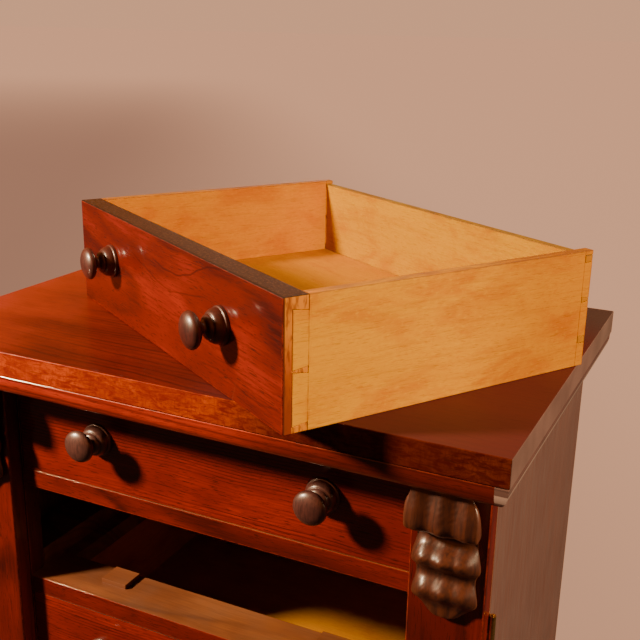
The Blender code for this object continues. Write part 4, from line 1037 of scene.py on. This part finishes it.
def makeCarcase():
    boards = {
        "side_left": ("sideLeft", "zyx", "mahogany", sideFinish, 0.0006),
        "side_right": ("sideRight", "zyx", "mahogany", sideFinish, 0.0006),
        "stile_left": ("stileLeft", "zxy", "mahogany", frontFinish, 0.0004),
        "stile_right": ("stileRight", "zxy", "mahogany", frontFinish, 0.0004),
        "pilaster_left": ("pilasterLeft", "zxy", "mahogany", frontFinish, 0.0012),
        "plinth": ("plinthPiece", "xzy", "mahogany", frontFinish, 0.0),
        "back_panel": ("backPanel", "zxy", "carcase_wood", carcaseFinish, 0.0),
        "bottom_board": ("bottomBoard", "xyz", "carcase_wood", carcaseFinish, 0.0),
    }
    for number in range(1, 7):
        name = f"drawerFrame{number}"
        boards[f"drawer_frame_{number}"] = (name, "xyz", "carcase_wood", carcaseFinish, 0.0003)
    for index, (node, (name, axes, slot, material, arris)) in enumerate(boards.items()):
        piece = workedCopy(node, name, arris)
        shadeWorn(piece, 40)
        markBoard(piece, axes, 4.1 + 1.3 * index)
        finishPiece(piece, "carcase", slot, material, node)
    piece = workedCopy("locking_pilaster", "pilasterRight", 0.0)
    shadeWorn(piece, 40)
    markBoard(piece, "zxy", 31.0)
    finishPiece(piece, "locking_pilaster", "mahogany", frontFinish, "locking_pilaster")


def makeRailFacings():
    # polished strips on the front edges of the rails, a hair proud of the drawers
    look = {"proud": 0.0005, "thick": 0.0005, "arris": 0.00045, "gap": 0.0004,
            "deep": 0.0190, "bay": 0.0185}
    left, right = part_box("pilaster_left")[1].x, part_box("locking_pilaster")[0].x
    for number in range(1, 7):
        low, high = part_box(f"drawer_frame_{number}")
        front = low.y - look["proud"]
        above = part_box(f"drawer_{number}_front")[0].z if number != laidNumber else low.z + look["bay"]
        piece = addBlock(f"railFacing{number}", (left + look["gap"], front, above - look["deep"]),
                         (right - look["gap"], front + look["thick"], above - look["gap"]))
        roundArrises(piece, look["arris"], 3)
        shadeWorn(piece, 40)
        markBoard(piece, "xzy", 50.0 + 2.7 * number)
        finishPiece(piece, "carcase", "mahogany", frontFinish)


def makeCorbels():
    for name, node, body in (("corbelLeft", "corbel_left", "carcase"),
                             ("corbelRight", "corbel_right", "locking_pilaster")):
        piece = workedCopy(node, name, 0.0)
        useModifier(piece, "SUBSURF", levels=2)
        takeUp(piece)
        bpy.ops.object.shade_smooth_by_angle(angle=math.radians(60))
        markHollows(piece, 2)
        finishPiece(piece, body, "carved_mahogany", carvedFinish, node)


def dressMetal():
    for name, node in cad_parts.items():
        if name.startswith(("hinge_", "lock_case", "lock_bolt", "lock_strike", "escutcheon")):
            node.data.materials.clear()
            node.data.materials.append(brassFinish)


def addHead(name, spot, radius, toward, slotTurn=None):
    # a screw's or nail's head that faces along y, its slot cut across it
    look = {"deep": 0.0006, "proud": 0.00012, "slot": 0.00028, "cut": 0.00030}
    bpy.ops.object.select_all(action="DESELECT")
    bpy.ops.mesh.primitive_cylinder_add(vertices=24, radius=radius, depth=look["deep"])
    piece = bpy.context.object
    piece.name = name
    if slotTurn is not None:
        bpy.ops.object.mode_set(mode="EDIT")
        for side in (-1, 1):
            selectWhole()
            bpy.ops.mesh.bisect(plane_co=(side * look["slot"], 0, 0), plane_no=(1, 0, 0))
        leaveEdit()
        pick(piece, "FACE",
             lambda face: face.normal.z > 0.9 and abs(face.calc_center_median().x) < look["slot"])
        bpy.ops.mesh.extrude_region_move(TRANSFORM_OT_translate={"value": (0, 0, -look["cut"])})
        leaveEdit()
    else:
        roundArrises(piece, radius * 0.12)
    turn = Matrix.Rotation(slotTurn or 0.0, 4, "Z")
    face = Matrix.Rotation(math.radians(90 if toward < 0 else -90), 4, "X")
    place = Vector(spot) + Vector((0, toward * (look["proud"] - look["deep"] / 2), 0))
    piece.data.transform(Matrix.Translation(place) @ face @ turn)
    return piece


def joinPieces(pieces, name):
    bpy.ops.object.select_all(action="DESELECT")
    for piece in pieces:
        piece.select_set(True)
    bpy.context.view_layer.objects.active = pieces[0]
    bpy.ops.object.join()
    pieces[0].name = name
    takeUp(pieces[0])
    bpy.ops.object.shade_smooth_by_angle(angle=math.radians(35))
    return pieces[0]


def makeScrews():
    look = {"radius": 0.0022, "from": 0.0068, "step": 0.0165, "stagger": 0.0022,
            "leaf": 0.0003, "turn": 0.6}
    for where in ("upper", "lower"):
        low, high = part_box(f"hinge_{where}_leaf_fixed")
        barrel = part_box(f"hinge_{where}_pin")
        axis = (barrel[0].y + barrel[1].y) / 2
        middle = (low.z + high.z) / 2
        for side, toward, body in (("Fixed", 1, "carcase"), ("Swinging", -1, "locking_pilaster")):
            heads = []
            for index in (-1, 0, 1):
                across = low.x + look["from"] + (look["stagger"] if index else 0.0)
                spot = (across, axis + toward * look["leaf"], middle + index * look["step"])
                slotTurn = look["turn"] * index + 0.4 * toward + 0.3
                heads.append(addHead("screw", spot, look["radius"], -toward, slotTurn))
            piece = joinPieces(heads, f"screws{where.title()}{side}")
            finishPiece(piece, body, "brass", brassFinish)


def makeNails():
    # nails round the edge of the back
    look = {"radius": 0.0021, "inset": 0.0040, "rows": 10, "columns": 6,
            "endGap": 0.03, "sideGap": 0.05, "stray": 0.0012}
    low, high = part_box("back_panel")
    spots = []
    tall = high.z - low.z - 2 * look["endGap"]
    wide = high.x - low.x - 2 * look["sideGap"]
    for step in range(look["rows"]):
        level = low.z + look["endGap"] + tall * step / (look["rows"] - 1)
        spots += [(low.x + look["inset"], level), (high.x - look["inset"], level)]
    for step in range(look["columns"]):
        across = low.x + look["sideGap"] + wide * step / (look["columns"] - 1)
        spots += [(across, low.z + look["inset"] * 2), (across, high.z - look["inset"])]
    heads = []
    for x, z in spots:
        stray = strayAt((x * 31, z * 17, 2.3)) * look["stray"]
        heads.append(addHead("nail", (x + stray.x, high.y, z + stray.z), look["radius"], 1))
    finishPiece(joinPieces(heads, "backNails"), "carcase", "brass", ironFinish)


makeCarcase()
makeRailFacings()
makeScrews()
makeNails()
makeCorbels()
dressMetal()
print("carcase made")


# floor, light and camera

def makeStage():
    look = {"seen": (0.800, 0.400, 0.228), "shadeSeen": (0.376, 0.187, 0.118),
            "bounced": (0.045, 0.025, 0.016), "wallSeen": (0.790, 0.395, 0.225),
            "wallGloss": (0.60, 0.13, 0.025), "wallLight": (0.012, 0.0065, 0.0040),
            "way": (0.84, 0.54), "start": -0.04, "aside": (-1.3, 1.9), "far": (8.0, 24.0)}
    bpy.ops.object.select_all(action="DESELECT")
    bpy.ops.mesh.primitive_plane_add(size=200.0, location=(0, 0, 0))
    floor = bpy.context.object
    floor.name = "floor"
    material, tree, shader = newMaterial("paleFloor")
    # the floor pales from left to right and with distance
    place = tree.place()
    x, y, z = tree.parts(place)
    aside = tree.plus(tree.times(x, look["way"][0]), tree.scaled(y, look["way"][1], look["start"]))
    far = tree.spread(tree.vector("LENGTH", place), *look["far"])
    pale = tree.times(tree.fall(aside, *look["aside"]), tree.minus(1.0, far))
    pale = tree.minus(1.0, pale)
    seen = tree.node("ShaderNodeLightPath").outputs["Is Camera Ray"]
    shown = tree.mix(pale, look["shadeSeen"], look["seen"])
    tree.dress(shader, {"Base Color": tree.mix(seen, look["bounced"], shown),
                        "Roughness": 0.9, "Specular IOR Level": 0.1})
    floor.data.materials.append(material)
    world = bpy.data.worlds.new("studio")
    bpy.context.scene.world = world
    world.use_nodes = True
    air = Tree(world.node_tree)
    ray = air.node("ShaderNodeLightPath").outputs
    lit = air.mix(ray["Is Glossy Ray"], look["wallLight"], look["wallGloss"])
    sky = world.node_tree.nodes["Background"].inputs
    air.feed(sky["Color"], air.mix(ray["Is Camera Ray"], lit, look["wallSeen"]))
    return floor


def hangLamp(lamp, spot, way, receivers):
    holder = bpy.data.objects.new(lamp.name, lamp)
    bpy.context.scene.collection.objects.link(holder)
    holder.location = spot
    holder.rotation_euler = Vector(way).to_track_quat("-Z", "Y").to_euler()
    holder.light_linking.receiver_collection = receivers
    return holder


def linkSet(name, piece, state):
    # a collection for a lamp that takes in one piece or leaves it out
    made = bpy.data.collections.new(name)
    made.objects.link(piece)
    made.collection_objects[0].light_linking.link_state = state
    return made


def makeLight(floor):
    # where each lamp is and aims, from the middle of the top's front edge, then size, power and colour
    lamps = {
        "keyLamp": ((-0.977, -0.688, 0.604), (0.0, 0.12, 0.03), 0.16, 64.0, (1.0, 0.70, 0.42)),
        "windowLamp": ((2.3, 0.30, 0.80), (0.0, 0.12, 0.03), 1.3, 104.0, (1.0, 0.74, 0.44)),
        "overheadLamp": ((0.9, 0.5, 1.9), (0.0, 0.12, 0.03), 1.4, 10.0, (1.0, 0.76, 0.50)),
        "rearLamp": ((-1.4, 2.8, -0.30), (0.0, 0.4, -0.5), 1.4, 60.0, (1.0, 0.80, 0.64)),
    }
    floorLight = {"power": 3.38, "angle": 25, "way": (0.25, 0.30, -0.92)}
    edge = Vector((middleX, topFront, topSurface))
    notFloor = linkSet("notFloor", floor, "EXCLUDE")
    for name, (spot, aim, size, power, colour) in lamps.items():
        lamp = bpy.data.lights.new(name, "AREA")
        lamp.shape = "DISK"
        lamp.size = size
        lamp.energy = power
        lamp.color = colour
        holder = hangLamp(lamp, edge + Vector(spot), Vector(aim) - Vector(spot), notFloor)
        if name == "windowLamp":
            # the laid drawer's back throws no shadow on its side
            past = linkSet("pastTheWindowLamp", bpy.data.objects["drawer2-back"], "EXCLUDE")
            holder.light_linking.blocker_collection = past
    sun = bpy.data.lights.new("floorLight", "SUN")
    sun.energy = floorLight["power"]
    sun.angle = math.radians(floorLight["angle"])
    hangLamp(sun, (0, 0, 0), floorLight["way"], linkSet("floorOnly", floor, "INCLUDE"))


def makeCamera():
    look = {"right": 0.4382, "back": -0.6029, "above": 0.2887, "lens": 53.49,
            "view": (-0.41267, 0.86035, -0.29917), "up": (-0.14645, 0.26151, 0.95403)}
    data = bpy.data.cameras.new("photoCamera")
    data.lens = look["lens"]
    data.sensor_width = 36.0
    camera = bpy.data.objects.new("photoCamera", data)
    bpy.context.scene.collection.objects.link(camera)
    view = Vector(look["view"]).normalized()
    right = view.cross(Vector(look["up"])).normalized()
    up = right.cross(view)
    turn = Matrix((right, up, -view)).transposed()
    spot = Vector((middleX + look["right"], topFront + look["back"], topSurface + look["above"]))
    camera.matrix_world = Matrix.Translation(spot) @ turn.to_4x4()
    bpy.context.scene.camera = camera


makeLight(makeStage())
makeCamera()
print("stage made")
